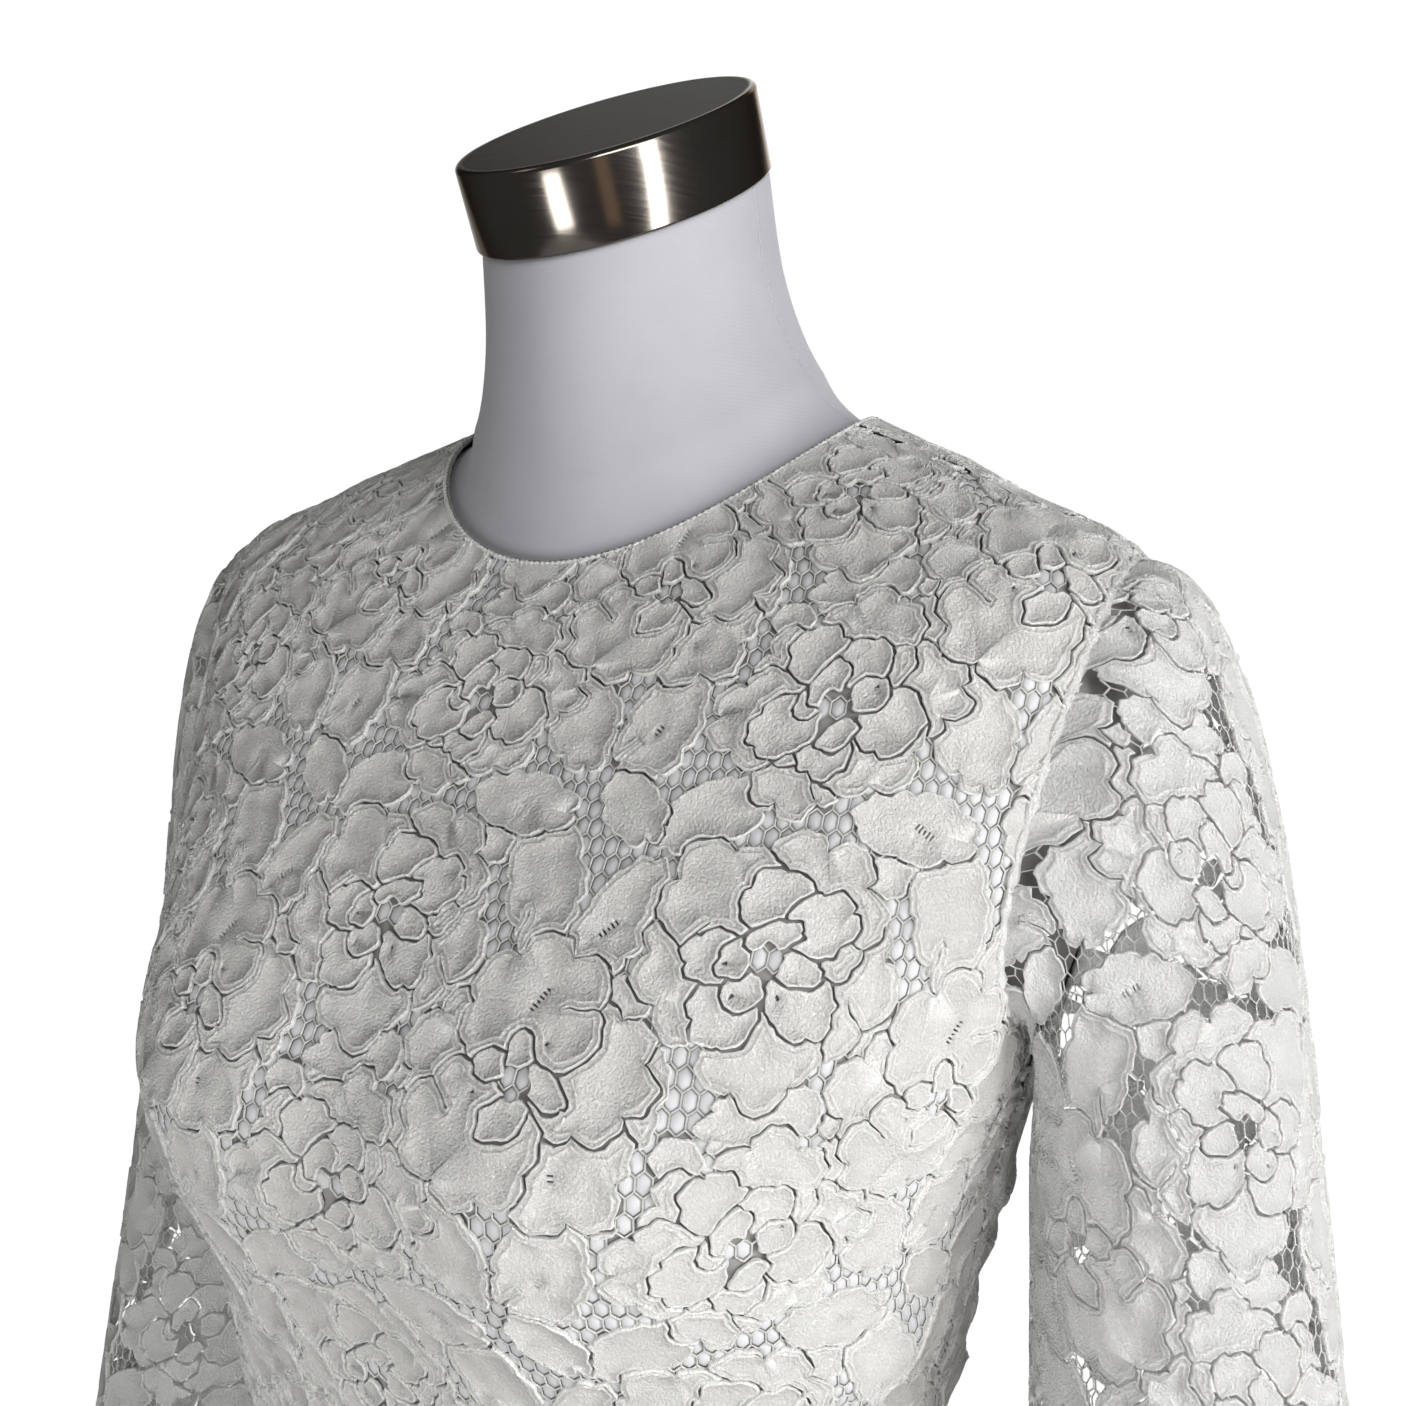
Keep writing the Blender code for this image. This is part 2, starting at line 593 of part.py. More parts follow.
def sleeve_half(name, pattern, first_turn, last_turn, mirror, collection):
    """Half of a sleeve's tube with the net's largest gaps cut through."""
    outline = sleeve_outline(pattern, first_turn, last_turn)
    gaps = sleeve_gaps(outline, pattern)
    flat = list(outline)
    faces = [list(range(len(outline)))]
    for gap in gaps:
        faces.append(list(range(len(flat), len(flat) + 6)))
        flat.extend(cell_corners(*gap))
    xs, ys = [p[0] for p in outline], [p[1] for p in outline]
    for x in np.arange(min(xs) + SLEEVE_GRID / 2.0, max(xs), SLEEVE_GRID):
        for y in np.arange(min(ys) + SLEEVE_GRID / 2.0, max(ys), SLEEVE_GRID):
            clear_of_edge = edge_clearance(outline, x, y) > SLEEVE_GRID_EDGE_CLEARANCE
            clear_of_gaps = edge_clearance(gaps, x, y) > SLEEVE_GRID_GAP_CLEARANCE
            if inside(outline, x, y) and clear_of_edge and clear_of_gaps:
                flat.append((float(x), float(y)))
    points = [Vector(p) for p in flat]
    verts, _, triangles, _, _, origin = delaunay_2d_cdt(points, [], faces, 1, 1e-4, True)
    kept = [list(face) for face, owner in zip(triangles, origin) if list(owner) == [0]]
    placed = [pattern.point(v.x * MM, v.y * MM) for v in verts]
    surface = np.array([place for place, _ in placed])
    normals = np.array([normal for _, normal in placed])
    if np.mean((surface - sleeve_axis()) * normals) < 0.0:
        normals = -normals
    surface[:, 0] *= mirror
    normals[:, 0] *= mirror
    first = kept[0]
    corner, second, third = surface[first]
    if np.cross(second - corner, third - corner) @ normals[first[0]] < 0.0:
        kept = [face[::-1] for face in kept]
    mesh = wall_mesh(name, surface, normals, kept, LACE_WALL)
    add_object(name, mesh, "lace", collection)
    return len(gaps)


def sleeve_axis():
    """Middle of the left sleeve's hanging part."""
    middle = [(a + b) / 2.0 for a, b in zip(SLEEVE_ARM, SLEEVE_HEM)]
    return np.array(middle[:3])


def build_sleeves(collection):
    pattern = SleevePattern()
    total = 0
    margin = SEAM / 2.0 / pattern.arm_radius
    for side, mirror in (("left", 1.0), ("right", -1.0)):
        name = "sleeve_" + side
        total += sleeve_half(name + "_front", pattern, margin, pi - margin, mirror, collection)
        total += sleeve_half(name + "_back", pattern, margin - pi, -margin, mirror, collection)
    print("lace gaps:", total)


def form_depth(level):
    """How deep the form lies under the dress's outer face; 0 where the neck is bare."""
    blend = np.clip((level - ARMHOLE_TOP) / (LEVEL["yoke"] - ARMHOLE_TOP), 0.0, 1.0)
    depth = FORM_DEPTH_BODY + (FORM_DEPTH_NECK - FORM_DEPTH_BODY) * blend
    bare = np.clip(LEVEL["neck_low"] - level, 0.0, 1.0)
    return depth * bare


def form_bottom_height():
    return float(ring_values(np.array(FORM_BOTTOM_LEVEL))[LEVEL_HEIGHT_COLUMN])


def build_form(collection):
    """Torso and neck as one closed body of rings."""
    levels = panel_levels()
    levels = levels[levels > FORM_BOTTOM_LEVEL + FORM_FIRST_STEP]
    neck = np.linspace(LEVEL["neckline"], LEVEL["neck_top"], NECK_ROWS + 1)[1:]
    levels = np.concatenate([[FORM_BOTTOM_LEVEL], levels, neck])
    angles = np.linspace(0.0, 2.0 * pi, 4 * HALF_COLUMNS, endpoint=False)
    angle, level = np.meshgrid(angles, levels)
    depth = form_depth(level)[..., None]
    points = body_point(angle, level, False) - depth * body_normal(angle, level, False)
    points[0, :, 2] = form_bottom_height()
    points[-1] = flat_ring(angles, "neck_top", 0.0, 1.0)
    return closed_rings("form_body", points, "jersey", collection)


def closed_rings(name, rings, material, collection):
    """Closed body through a stack of rings, with flat ends."""
    shell = bmesh.new()
    rows = [[shell.verts.new(place) for place in ring] for ring in rings]
    count = len(rows[0])
    for low, high in zip(rows, rows[1:]):
        for i in range(count):
            j = (i + 1) % count
            shell.faces.new((low[i], low[j], high[j]))
            shell.faces.new((low[i], high[j], high[i]))
    shell.faces.new(rows[0][::-1])
    shell.faces.new(rows[-1])
    mesh = bpy.data.meshes.new(name)
    shell.to_mesh(mesh)
    shell.free()
    mesh.shade_smooth()
    return add_object(name, mesh, material, collection)


def flat_ring(angles, station_name, rise, scale):
    """Flat tilted ring of a station, lifted along its own axis."""
    station = STATIONS[station_name]
    tilt = radians(station.tilt)
    axis = np.array([0.0, -sin(tilt), cos(tilt)])
    forward = np.array([0.0, -cos(tilt), -sin(tilt)])
    centre = np.array([0.0, station.centre_y, station.height]) + axis * rise
    side = np.outer(np.sin(angles) * station.half_width * scale, (1.0, 0.0, 0.0))
    return centre + side + np.outer(np.cos(angles) * station.front * scale, forward)


def build_neck_cap(collection):
    """Metal cap that closes the neck, with a rounded upper edge."""
    angles = np.linspace(0.0, 2.0 * pi, CAP_SIDES, endpoint=False)
    grown = 1.0 + CAP_OVERHANG / STATIONS["neck_top"].half_width
    trim = CAP_EDGE / STATIONS["neck_top"].half_width
    narrowed = grown * CAP_TAPER
    profile = (
        (SEAM, grown - trim / 2.0),
        (SEAM + CAP_EDGE / 2.0, grown),
        (CAP_HEIGHT - CAP_EDGE, narrowed),
        (CAP_HEIGHT - CAP_EDGE * 0.3, narrowed - trim * 0.35),
        (CAP_HEIGHT, narrowed - trim),
    )
    rings = [flat_ring(angles, "neck_top", rise, scale) for rise, scale in profile]
    return closed_rings("neck_cap", rings, "cap_metal", collection)


def turned_piece(name, profile, material, steps, collection):
    """Closed profile of (radius, height) turned about Z with a Screw modifier."""
    mesh = bpy.data.meshes.new(name)
    points = [(radius, 0.0, height) for radius, height in profile]
    edges = [(i, i + 1) for i in range(len(points) - 1)]
    mesh.from_pydata(points, edges, [])
    piece = add_object(name, mesh, material, collection)
    screw = piece.modifiers.new("turn", "SCREW")
    screw.steps = steps
    screw.render_steps = steps
    screw.use_merge_vertices = True
    screw.merge_threshold = 0.00001
    screw.use_smooth_shade = True
    return piece


def build_stand(collection):
    """Round base and pole that carry the form."""
    turned_piece("stand_base", (
        (0.0, HUB_HEIGHT), (HUB_RADIUS - BEVEL, HUB_HEIGHT), (HUB_RADIUS, HUB_HEIGHT - BEVEL),
        (HUB_RADIUS, BASE_HEIGHT), (BASE_RADIUS * BASE_TOP_SHARE, BASE_TOP_HEIGHT),
        (BASE_RADIUS - BEVEL, BASE_RIM), (BASE_RADIUS, BASE_RIM - BEVEL), (BASE_RADIUS, 0.0),
        (0.0, 0.0)), "stand_steel", BASE_SIDES, collection)
    top = form_bottom_height() - SEAM
    turned_piece("stand_pole", (
        (0.0, top), (FLANGE_RADIUS, top), (FLANGE_RADIUS, top - FLANGE_HEIGHT),
        (POLE_RADIUS, top - FLANGE_HEIGHT), (POLE_RADIUS, HUB_HEIGHT + SEAM),
        (0.0, HUB_HEIGHT + SEAM)), "stand_steel", POLE_SIDES, collection)


def zip_frame():
    """Matrix at the slider: X to the wearer's right, Y up the seam, Z outwards."""
    outward = Vector(body_normal(np.array(pi), np.array(ZIP_LEVEL)))
    upward = Vector((0.0, 0.0, 1.0))
    upward = (upward - outward * upward.dot(outward)).normalized()
    across = upward.cross(outward)
    place = Vector(body_point(np.array(pi), np.array(ZIP_LEVEL)))
    return Matrix.Translation(place) @ Matrix((across, upward, outward)).transposed().to_4x4()


def add_box(shell, low, high):
    """Box between two corners, in the shell's own frame."""
    size = [b - a for a, b in zip(low, high)]
    middle = [(a + b) / 2.0 for a, b in zip(low, high)]
    matrix = Matrix.Translation(middle) @ Matrix.Diagonal((*size, 1.0))
    bmesh.ops.create_cube(shell, size=1.0, matrix=matrix)


def union_boxes(name, boxes, matrix, material, collection):
    """Several boxes joined to one solid by Boolean unions."""
    pieces = []
    for index, (low, high) in enumerate(boxes):
        shell = bmesh.new()
        add_box(shell, low, high)
        mesh = bpy.data.meshes.new(name + "_box_" + str(index))
        shell.to_mesh(mesh)
        shell.free()
        pieces.append(bpy.data.objects.new(mesh.name, mesh))
        bpy.context.scene.collection.objects.link(pieces[-1])
    first = pieces[0]
    for other in pieces[1:]:
        joint = first.modifiers.new("join", "BOOLEAN")
        joint.operation = "UNION"
        joint.object = other
    graph = bpy.context.evaluated_depsgraph_get()
    mesh = bpy.data.meshes.new_from_object(first.evaluated_get(graph))
    mesh.transform(matrix)
    for piece in pieces:
        bpy.data.objects.remove(piece, do_unlink=True)
    mesh.name = name
    return add_object(name, mesh, material, collection)


def build_zip(collection):
    """Slider with its arch, and the pull tab that hangs from it."""
    matrix = zip_frame()
    base = SEAM
    top = base + SLIDER_PLATE
    half = SLIDER_LENGTH / 2.0
    arch_low, arch_high = -ARCH_SPAN / 2.0, ARCH_SPAN / 2.0
    crown = top + ARCH_RISE
    thick = 2.0 * ARCH_RADIUS
    union_boxes("zip_slider", (
        ((-SLIDER_WIDTH / 2.0, -half, base), (SLIDER_WIDTH / 2.0, half, top)),
        ((-ARCH_RADIUS, arch_low - thick, top - ARCH_RADIUS), (ARCH_RADIUS, arch_low, crown)),
        ((-ARCH_RADIUS, arch_high, top - ARCH_RADIUS), (ARCH_RADIUS, arch_high + thick, crown)),
        ((-ARCH_RADIUS, arch_low - thick, crown - ARCH_RADIUS),
         (ARCH_RADIUS, arch_high + thick, crown + thick)),
    ), matrix, "zip_metal", collection)
    low = top + TAB_BAR_OFFSET - TAB_THICKNESS / 2.0
    high = low + TAB_THICKNESS
    bar = TAB_THICKNESS / 2.0
    eye = bar + TAB_EYE
    union_boxes("zip_pull_tab", (
        ((-TAB_WIDTH / 2.0, -bar, low), (TAB_WIDTH / 2.0, bar, high)),
        ((-TAB_WIDTH / 2.0, -eye, low), (-TAB_WIDTH / 2.0 + TAB_SIDE, bar, high)),
        ((TAB_WIDTH / 2.0 - TAB_SIDE, -eye, low), (TAB_WIDTH / 2.0, bar, high)),
        ((-TAB_WIDTH / 2.0, -TAB_LENGTH, low), (TAB_WIDTH / 2.0, -eye, high)),
    ), matrix, "zip_metal", collection)
    hinge = matrix @ Vector((0.0, 0.0, top + TAB_BAR_OFFSET))
    print("tab hinge at", [round(value, 5) for value in hinge])
    normal = matrix.to_3x3() @ Vector((0.0, 0.0, 1.0))
    print("tab leans", round(degrees(atan2(normal.z, normal.y)), 2))


def build():
    clear_scene()
    collection = make_collection(COLLECTION)
    build_form(collection)
    build_neck_cap(collection)
    build_stand(collection)
    build_bodice(LINING, collection)
    build_bodice(LACE, collection)
    build_sleeves(collection)
    build_zip(collection)


build()
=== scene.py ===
"""Looks of a corded lace party dress on its limbless dress form.

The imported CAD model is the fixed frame. The lace is built as real petals, cords
and net threads from one repeat, laid on the flat cut of each panel and carried
onto the garment's form. Lengths are metres; lace patterns are in millimetres.
"""
import logging
from dataclasses import astuple, dataclass, field, replace
from enum import Enum
from math import cos, hypot, pi, radians, sin
from typing import Callable, Sequence, Union

import bpy
import numpy as np
from mathutils import Matrix, Vector
from mathutils.geometry import delaunay_2d_cdt


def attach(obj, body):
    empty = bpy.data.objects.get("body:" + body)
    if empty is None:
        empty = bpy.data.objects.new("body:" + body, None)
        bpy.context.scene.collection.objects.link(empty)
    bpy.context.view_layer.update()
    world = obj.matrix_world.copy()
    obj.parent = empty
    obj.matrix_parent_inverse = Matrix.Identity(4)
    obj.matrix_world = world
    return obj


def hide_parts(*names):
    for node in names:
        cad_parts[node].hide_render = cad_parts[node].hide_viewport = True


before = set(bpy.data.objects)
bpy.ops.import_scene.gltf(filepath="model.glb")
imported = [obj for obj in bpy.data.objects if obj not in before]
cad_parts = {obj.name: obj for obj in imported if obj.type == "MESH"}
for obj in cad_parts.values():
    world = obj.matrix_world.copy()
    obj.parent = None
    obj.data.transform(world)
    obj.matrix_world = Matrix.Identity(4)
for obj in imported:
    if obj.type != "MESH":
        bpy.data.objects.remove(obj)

LOG = logging.getLogger("dress")
MM = 0.001
BODY = "dress_on_form"
Array = np.ndarray
Material = bpy.types.Material
Pair = tuple[float, float]
Arrays = tuple[Array, Array]


# Shading


class Wire:
    """A shader value that takes part in Python arithmetic."""

    def __init__(self, paint: "Paint", socket: bpy.types.NodeSocket) -> None:
        """Keep the socket and the tree that it belongs to."""
        self.paint = paint
        self.socket = socket

    def _math(self, operation: str, first: "Value", second: "Value" = 0.0) -> "Wire":
        """Add one Math node to the tree."""
        return self.paint.node("ShaderNodeMath", {"operation": operation}, {0: first, 1: second})

    def __add__(self, other: "Value") -> "Wire":
        """Sum."""
        return self._math("ADD", self, other)

    __radd__ = __add__

    def __mul__(self, other: "Value") -> "Wire":
        """Product."""
        return self._math("MULTIPLY", self, other)

    __rmul__ = __mul__

    def __sub__(self, other: "Value") -> "Wire":
        """Difference."""
        return self._math("SUBTRACT", self, other)

    def __rsub__(self, other: "Value") -> "Wire":
        """Reflected difference, so that 1 - mask works."""
        return self._math("SUBTRACT", other, self)

    def between(self, low: float, high: float) -> "Wire":
        """Smooth step from 0 at low to 1 at high."""
        settings = {"interpolation_type": "SMOOTHSTEP"}
        return self.paint.node("ShaderNodeMapRange", settings, {0: self, 1: low, 2: high})


Value = Union[float, Wire]
Colour = tuple[float, float, float]


class Paint:
    """A node tree under construction, of a material or of the world."""

    def __init__(self, name: str, world: Union[bpy.types.World, None] = None) -> None:
        """Make the material, or take the world, and find its shader.

        Args:
            name: name of the material.
            world: the world, where the tree is for it.
        """
        self.owner = world or bpy.data.materials.new(name)
        self.owner.use_nodes = True
        self.tree = self.owner.node_tree
        self.shader = self.tree.nodes.get("Principled BSDF")

    def node(self, kind: str, settings: dict, inputs: dict, output: Union[int, str] = 0) -> Wire:
        """Add any node, with its settings first and then its sockets.

        Args:
            kind: Blender's type name of the node.
            settings: attributes of the node.
            inputs: values or wires by socket index or name.
            output: socket that is returned.

        Returns:
            The chosen output as a wire.
        """
        made = self.tree.nodes.new(kind)
        for name, value in settings.items():
            setattr(made, name, value)
        for key, value in inputs.items():
            self.connect(made.inputs[key], value)
        return Wire(self, made.outputs[output])

    def connect(self, socket: bpy.types.NodeSocket, value: Union[Value, Sequence[float]]) -> None:
        """Link a wire to a socket, or set its own value.

        Args:
            socket: socket that is fed.
            value: wire or plain value.
        """
        if isinstance(value, Wire):
            self.tree.links.new(value.socket, socket)
        else:
            socket.default_value = value

    def surface(self, **values: Union[Value, Sequence[float]]) -> None:
        """Feed the shader's sockets, named with underscores for spaces.

        Args:
            values: wires or plain values.
        """
        for name, value in values.items():
            title = name.replace("_", " ").title().replace("Ior", "IOR")
            self.connect(self.shader.inputs[title], value)

    def place(self) -> Wire:
        """Object coordinates, which are the row frame's."""
        return self.node("ShaderNodeTexCoord", {}, {}, "Object")

    def scaled(self, vector: Wire, scale: Sequence[float]) -> Wire:
        """Vector times a scale on each axis."""
        return self.node("ShaderNodeVectorMath", {"operation": "MULTIPLY"}, {0: vector, 1: scale})

    def noise(self, vector: Wire, scale: float, detail: float = 2.0, roughness: float = 0.5) -> Wire:
        """Noise value at a place."""
        values = {"Vector": vector, "Scale": scale, "Detail": detail, "Roughness": roughness}
        return self.node("ShaderNodeTexNoise", {}, values)

    def attribute(self, name: str) -> Wire:
        """Value that the mesh carries at its points."""
        return self.node("ShaderNodeAttribute", {"attribute_name": name}, {}, "Fac")

    def mix(self, share: Value, first: Union[Wire, Colour], second: Union[Wire, Colour]) -> Wire:
        """Colour between two colours."""
        ends = [value if isinstance(value, Wire) else (*value, 1.0) for value in (first, second)]
        return self.node("ShaderNodeMix", {"data_type": "RGBA"}, {0: share, 6: ends[0], 7: ends[1]}, 2)

    def bump(self, height: Wire, distance: float, strength: float = 1.0) -> Wire:
        """Normal of a low relief."""
        values = {"Strength": strength, "Distance": distance, "Height": height}
        return self.node("ShaderNodeBump", {}, values)


@dataclass(frozen=True)
class LaceFinish:
    """Matt corded lace: woven petals and brighter cords."""

    name: str = "lace"
    petal: Colour = (0.79, 0.784, 0.762)
    shade: Colour = (0.53, 0.52, 0.492)
    cord: Colour = (0.98, 0.975, 0.945)
    grain_scale: float = 1150.0
    cloud_scale: float = 26.0
    thinness: float = 0.0
    cloud_share: float = 0.35
    crepe_share: float = 0.46
    relief: float = 0.00078

    def material(self) -> Material:
        """Build the lace's material.

        Returns:
            The material.
        """
        paint = Paint(self.name)
        place = paint.place()
        cord = paint.attribute("cord")
        cloud = paint.noise(place, self.cloud_scale, 3.0).between(0.32, 0.72)
        crepe = paint.noise(place, self.grain_scale, 3.0, 0.65).between(0.30, 0.70)
        yarn = paint.noise(paint.scaled(place, (1.0, 1.0, 0.5)), self.grain_scale * 2.6, 1.0)
        base = paint.mix(cloud * self.cloud_share, self.petal, self.shade)
        base = paint.mix(crepe * self.crepe_share, base, self.shade)
        relief = crepe * 0.75 + yarn * 0.25
        paint.surface(base_color=paint.mix(cord, base, self.cord), normal=paint.bump(relief, self.relief))
        paint.surface(roughness=0.88 - cord * 0.28, specular_ior_level=0.28)
        paint.surface(sheen_weight=0.12, sheen_roughness=0.5)
        if self.thinness:
            paint.surface(transmission_weight=self.thinness, ior=1.08)
        return paint.owner


@dataclass(frozen=True)
class LiningFinish:
    """Smooth lining that shows in the net, with painted shade in its grooves and round its puffs."""

    name: str = "lining"
    colour: Colour = (0.545, 0.545, 0.56)
    # Painted shade: dark colour of the puffs' rims, of the lining seen between the near petals, and of its
    # neck edge.
    painted_shade: Colour = (0.25, 0.245, 0.235)

    def material(self) -> Material:
        """Build the lining's material.

        Returns:
            The material.
        """
        paint = Paint(self.name)
        place = paint.place()
        cloud = paint.noise(place, 60.0, 2.0).between(0.3, 0.7)
        weave = paint.noise(paint.scaled(place, (1.0, 1.0, 0.5)), 2600.0, 1.0)
        # Share of the plain lining colour; where it is low, the painted shade colour stands in for shadow.
        unshaded_share = paint.attribute("cord")
        paint.surface(base_color=paint.mix(unshaded_share.between(0.0, 0.85) - cloud * 0.1, self.painted_shade, self.colour))
        paint.surface(normal=paint.bump(weave, 0.00006, 0.5), roughness=0.62 + cloud * 0.08)
        paint.surface(specular_ior_level=0.35)
        return paint.owner


@dataclass(frozen=True)
class JerseyFinish:
    """Fine knit cover of the form, cool white."""

    name: str = "jersey"
    colour: Colour = (0.415, 0.415, 0.446)
    shade: Colour = (0.36, 0.36, 0.393)
    wale: float = 0.0007
    knit_share: float = 0.16

    def material(self) -> Material:
        """Build the jersey's material.

        Returns:
            The material.
        """
        paint = Paint(self.name)
        place = paint.place()
        cloud = paint.noise(place, 40.0, 3.0).between(0.3, 0.7)
        fine = paint.noise(paint.scaled(place, (1.0, 1.0, 0.35)), 1400.0, 2.0, 0.6)
        bands = {"wave_type": "BANDS", "bands_direction": "Z"}
        values = {"Vector": place, "Scale": 1.0 / self.wale / 6.0, "Distortion": 2.2}
        courses = paint.node("ShaderNodeTexWave", bands, values | {"Detail": 2.0, "Detail Scale": 3.0})
        knit = courses * 0.45 + fine * 0.55
        base = paint.mix(cloud * 0.4, self.colour, self.shade)
        paint.surface(base_color=paint.mix(knit * self.knit_share, base, self.shade))
        paint.surface(normal=paint.bump(knit, 0.00012, 0.5), roughness=0.9 - cloud * 0.05)
        paint.surface(sheen_weight=0.15, specular_ior_level=0.25)
        return paint.owner


@dataclass(frozen=True)
class MetalFinish:
    """Brushed or satin metal, with its grain along the ring or the length."""

    name: str
    colour: Colour
    dark: Colour
    roughness: float
    grain: tuple[float, float, float]
    worn: float = 0.25
    # Painted shade: the near-black, matt colour of the cap's flat top, standing in for how dark its brushed
    # metal looks.
    painted_dark_top: Colour = (0.027, 0.023, 0.018)
    rim: Colour = (0.30, 0.28, 0.26)

    def material(self) -> Material:
        """Build the metal's material.

        Returns:
            The material.
        """
        paint = Paint(self.name)
        place = paint.place()
        streak = paint.noise(paint.scaled(place, self.grain), 1.0, 4.0, 0.65)
        cloud = paint.noise(place, 45.0, 3.0).between(0.35, 0.75)
        bright = paint.mix(cloud * self.worn + streak * 0.2, self.colour, self.dark)
        # Mask of the painted dark top: there the metal turns into a matt, near-black colour.
        dark_top_mask = paint.attribute("cord")
        paint.surface(base_color=paint.mix(dark_top_mask, bright, self.painted_dark_top))
        paint.surface(metallic=1.0 - dark_top_mask, roughness=streak * 0.16 + (self.roughness - 0.08) + dark_top_mask * 0.5)
        paint.surface(normal=paint.bump(streak, 0.00002, 0.35), specular_ior_level=0.12)
        paint.surface(specular_tint=(*self.rim, 1.0))
        return paint.owner


@dataclass(frozen=True)
class FloorFinish:
    """Plain pale floor."""

    name: str = "studio_floor"
    colour: Colour = (0.82, 0.82, 0.81)

    def material(self) -> Material:
        """Build the floor's material.

        Returns:
            The material.
        """
        paint = Paint(self.name)
        cloud = paint.noise(paint.place(), 3.0, 2.0)
        paint.surface(base_color=paint.mix(cloud * 0.1, self.colour, (0.76, 0.76, 0.75)))
        paint.surface(roughness=0.7)
        return paint.owner


# Meshes


@dataclass
class Patch:
    """Triangles with a value at each point, before or after they are placed."""

    points: Array
    triangles: Array
    # On the lace this is the cord share; on the lining and on the cap's top it is the mask of painted shade.
    cord: Array

    @staticmethod
    def joined(patches: Sequence["Patch"]) -> "Patch":
        """One patch of several.

        Args:
            patches: patches whose points have the same width.

        Returns:
            Their points and triangles, numbered on.
        """
        counts = np.cumsum([0] + [len(patch.points) for patch in patches])
        triangles = [patch.triangles + start for patch, start in zip(patches, counts)]
        return Patch(np.concatenate([patch.points for patch in patches]), np.concatenate(triangles),
                     np.concatenate([patch.cord for patch in patches]))

    def kept_where(self, signed: Array) -> "Patch":
        """Cut the triangles along the line where a signed value is zero.

        Args:
            signed: value at each point; the positive side stays.

        Returns:
            The patch that is left, with new points along the cut.
        """
        inside = signed[self.triangles] > 0.0
        count = inside.sum(axis=1)
        whole = self.triangles[count == 3]
        tips = self._turned(count == 1, inside)
        bases = self._turned(count == 2, ~inside)
        cut = np.concatenate([tips, bases])
        if not len(cut):
            return self.compact(whole)
        lead, second, third = cut.T
        old = np.column_stack([self.points, self.cord])
        near = self._crossing(old, signed, lead, second)
        far = self._crossing(old, signed, lead, third)
        total = len(self.points)
        near_index = total + np.arange(len(cut))
        far_index = near_index + len(cut)
        values = np.concatenate([old, near, far])
        split = len(tips)
        made = [whole, np.column_stack([lead, near_index, far_index])[:split],
                np.column_stack([near_index, second, third])[split:],
                np.column_stack([near_index, third, far_index])[split:]]
        return Patch(values[:, :-1], self.triangles, values[:, -1]).compact(np.concatenate(made))

    def _turned(self, chosen: Array, odd: Array) -> Array:
        """Chosen triangles, turned so that the odd corner comes first."""
        corners = (odd[chosen].argmax(axis=1)[:, None] + np.arange(3)) % 3
        return np.take_along_axis(self.triangles[chosen], corners, axis=1)

    @staticmethod
    def _crossing(values: Array, signed: Array, start: Array, end: Array) -> Array:
        """Points and their values where edges cross zero."""
        share = signed[start] / (signed[start] - signed[end])
        return values[start] + (values[end] - values[start]) * share[:, None]

    def split_at(self, height: float) -> tuple["Patch", "Patch"]:
        """The triangles that lie above a height, and the others."""
        above = self.points[self.triangles, 2].mean(axis=1) > height
        return self.compact(self.triangles[above]), self.compact(self.triangles[~above])

    def toned(self, value: float) -> "Patch":
        """The same triangles with one value at every point."""
        return Patch(self.points, self.triangles, np.full(len(self.points), value))

    def compact(self, triangles: Array) -> "Patch":
        """Some triangles, without the points that none of them uses."""
        used, index = np.unique(triangles, return_inverse=True)
        return Patch(self.points[used], index.reshape(-1, 3), self.cord[used])


class Workshop:
    """Makes Blender pieces and fastens them to the frame."""

    def __init__(self) -> None:
        """Start the collection of pieces."""
        self.collection = bpy.data.collections.new("dress_looks")
        bpy.context.scene.collection.children.link(self.collection)

    def piece(self, name: str, patch: Patch, material: Material, slot: str,
              replaces: Sequence[str] = (), body: str = BODY) -> bpy.types.Object:
        """Make one piece of the object.

        Args:
            name: name of the piece.
            patch: its placed triangles.
            material: its finish.
            slot: name of the material slot; not used.
            replaces: CAD nodes that it stands for.
            body: CAD body that it rides on.

        Returns:
            The new object.
        """
        mesh = bpy.data.meshes.new(name)
        mesh.vertices.add(len(patch.points))
        mesh.vertices.foreach_set("co", patch.points.astype(np.float32).ravel())
        mesh.loops.add(3 * len(patch.triangles))
        mesh.loops.foreach_set("vertex_index", patch.triangles.astype(np.int32).ravel())
        mesh.polygons.add(len(patch.triangles))
        mesh.polygons.foreach_set("loop_start", np.arange(0, 3 * len(patch.triangles), 3, dtype=np.int32))
        mesh.update(calc_edges=True)
        mesh.shade_smooth()
        # The cord attribute holds the lace's cord share and, on the lining and the cap's top, the mask of
        # painted shade.
        mesh.attributes.new("cord", "FLOAT", "POINT").data.foreach_set("value", patch.cord.astype(np.float32))
        mesh.materials.append(material)
        made = bpy.data.objects.new(name, mesh)
        self.collection.objects.link(made)
        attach(made, body)
        if replaces:
            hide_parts(*replaces)
        LOG.info("%s: %d triangles", name, len(patch.triangles))
        return made


def unit(vectors: Array) -> Array:
    """Vectors of length one along the same directions."""
    return vectors / np.linalg.norm(vectors, axis=-1, keepdims=True)


def grid_triangles(rows: int, columns: int, closed: bool = False) -> Array:
    """Triangles of a grid of points.

    Args:
        rows: number of rows.
        columns: number of points in a row.
        closed: whether a row ends where it starts.

    Returns:
        Triangle corners, wound from column to row.
    """
    across = columns if closed else columns - 1
    row, column = np.meshgrid(np.arange(rows - 1), np.arange(across), indexing="ij")
    low = row * columns + column
    low_next = row * columns + (column + 1) % columns
    high, high_next = low + columns, low_next + columns
    first = np.stack([low, low_next, high_next], -1).reshape(-1, 3)
    second = np.stack([low, high_next, high], -1).reshape(-1, 3)
    return np.concatenate([first, second])


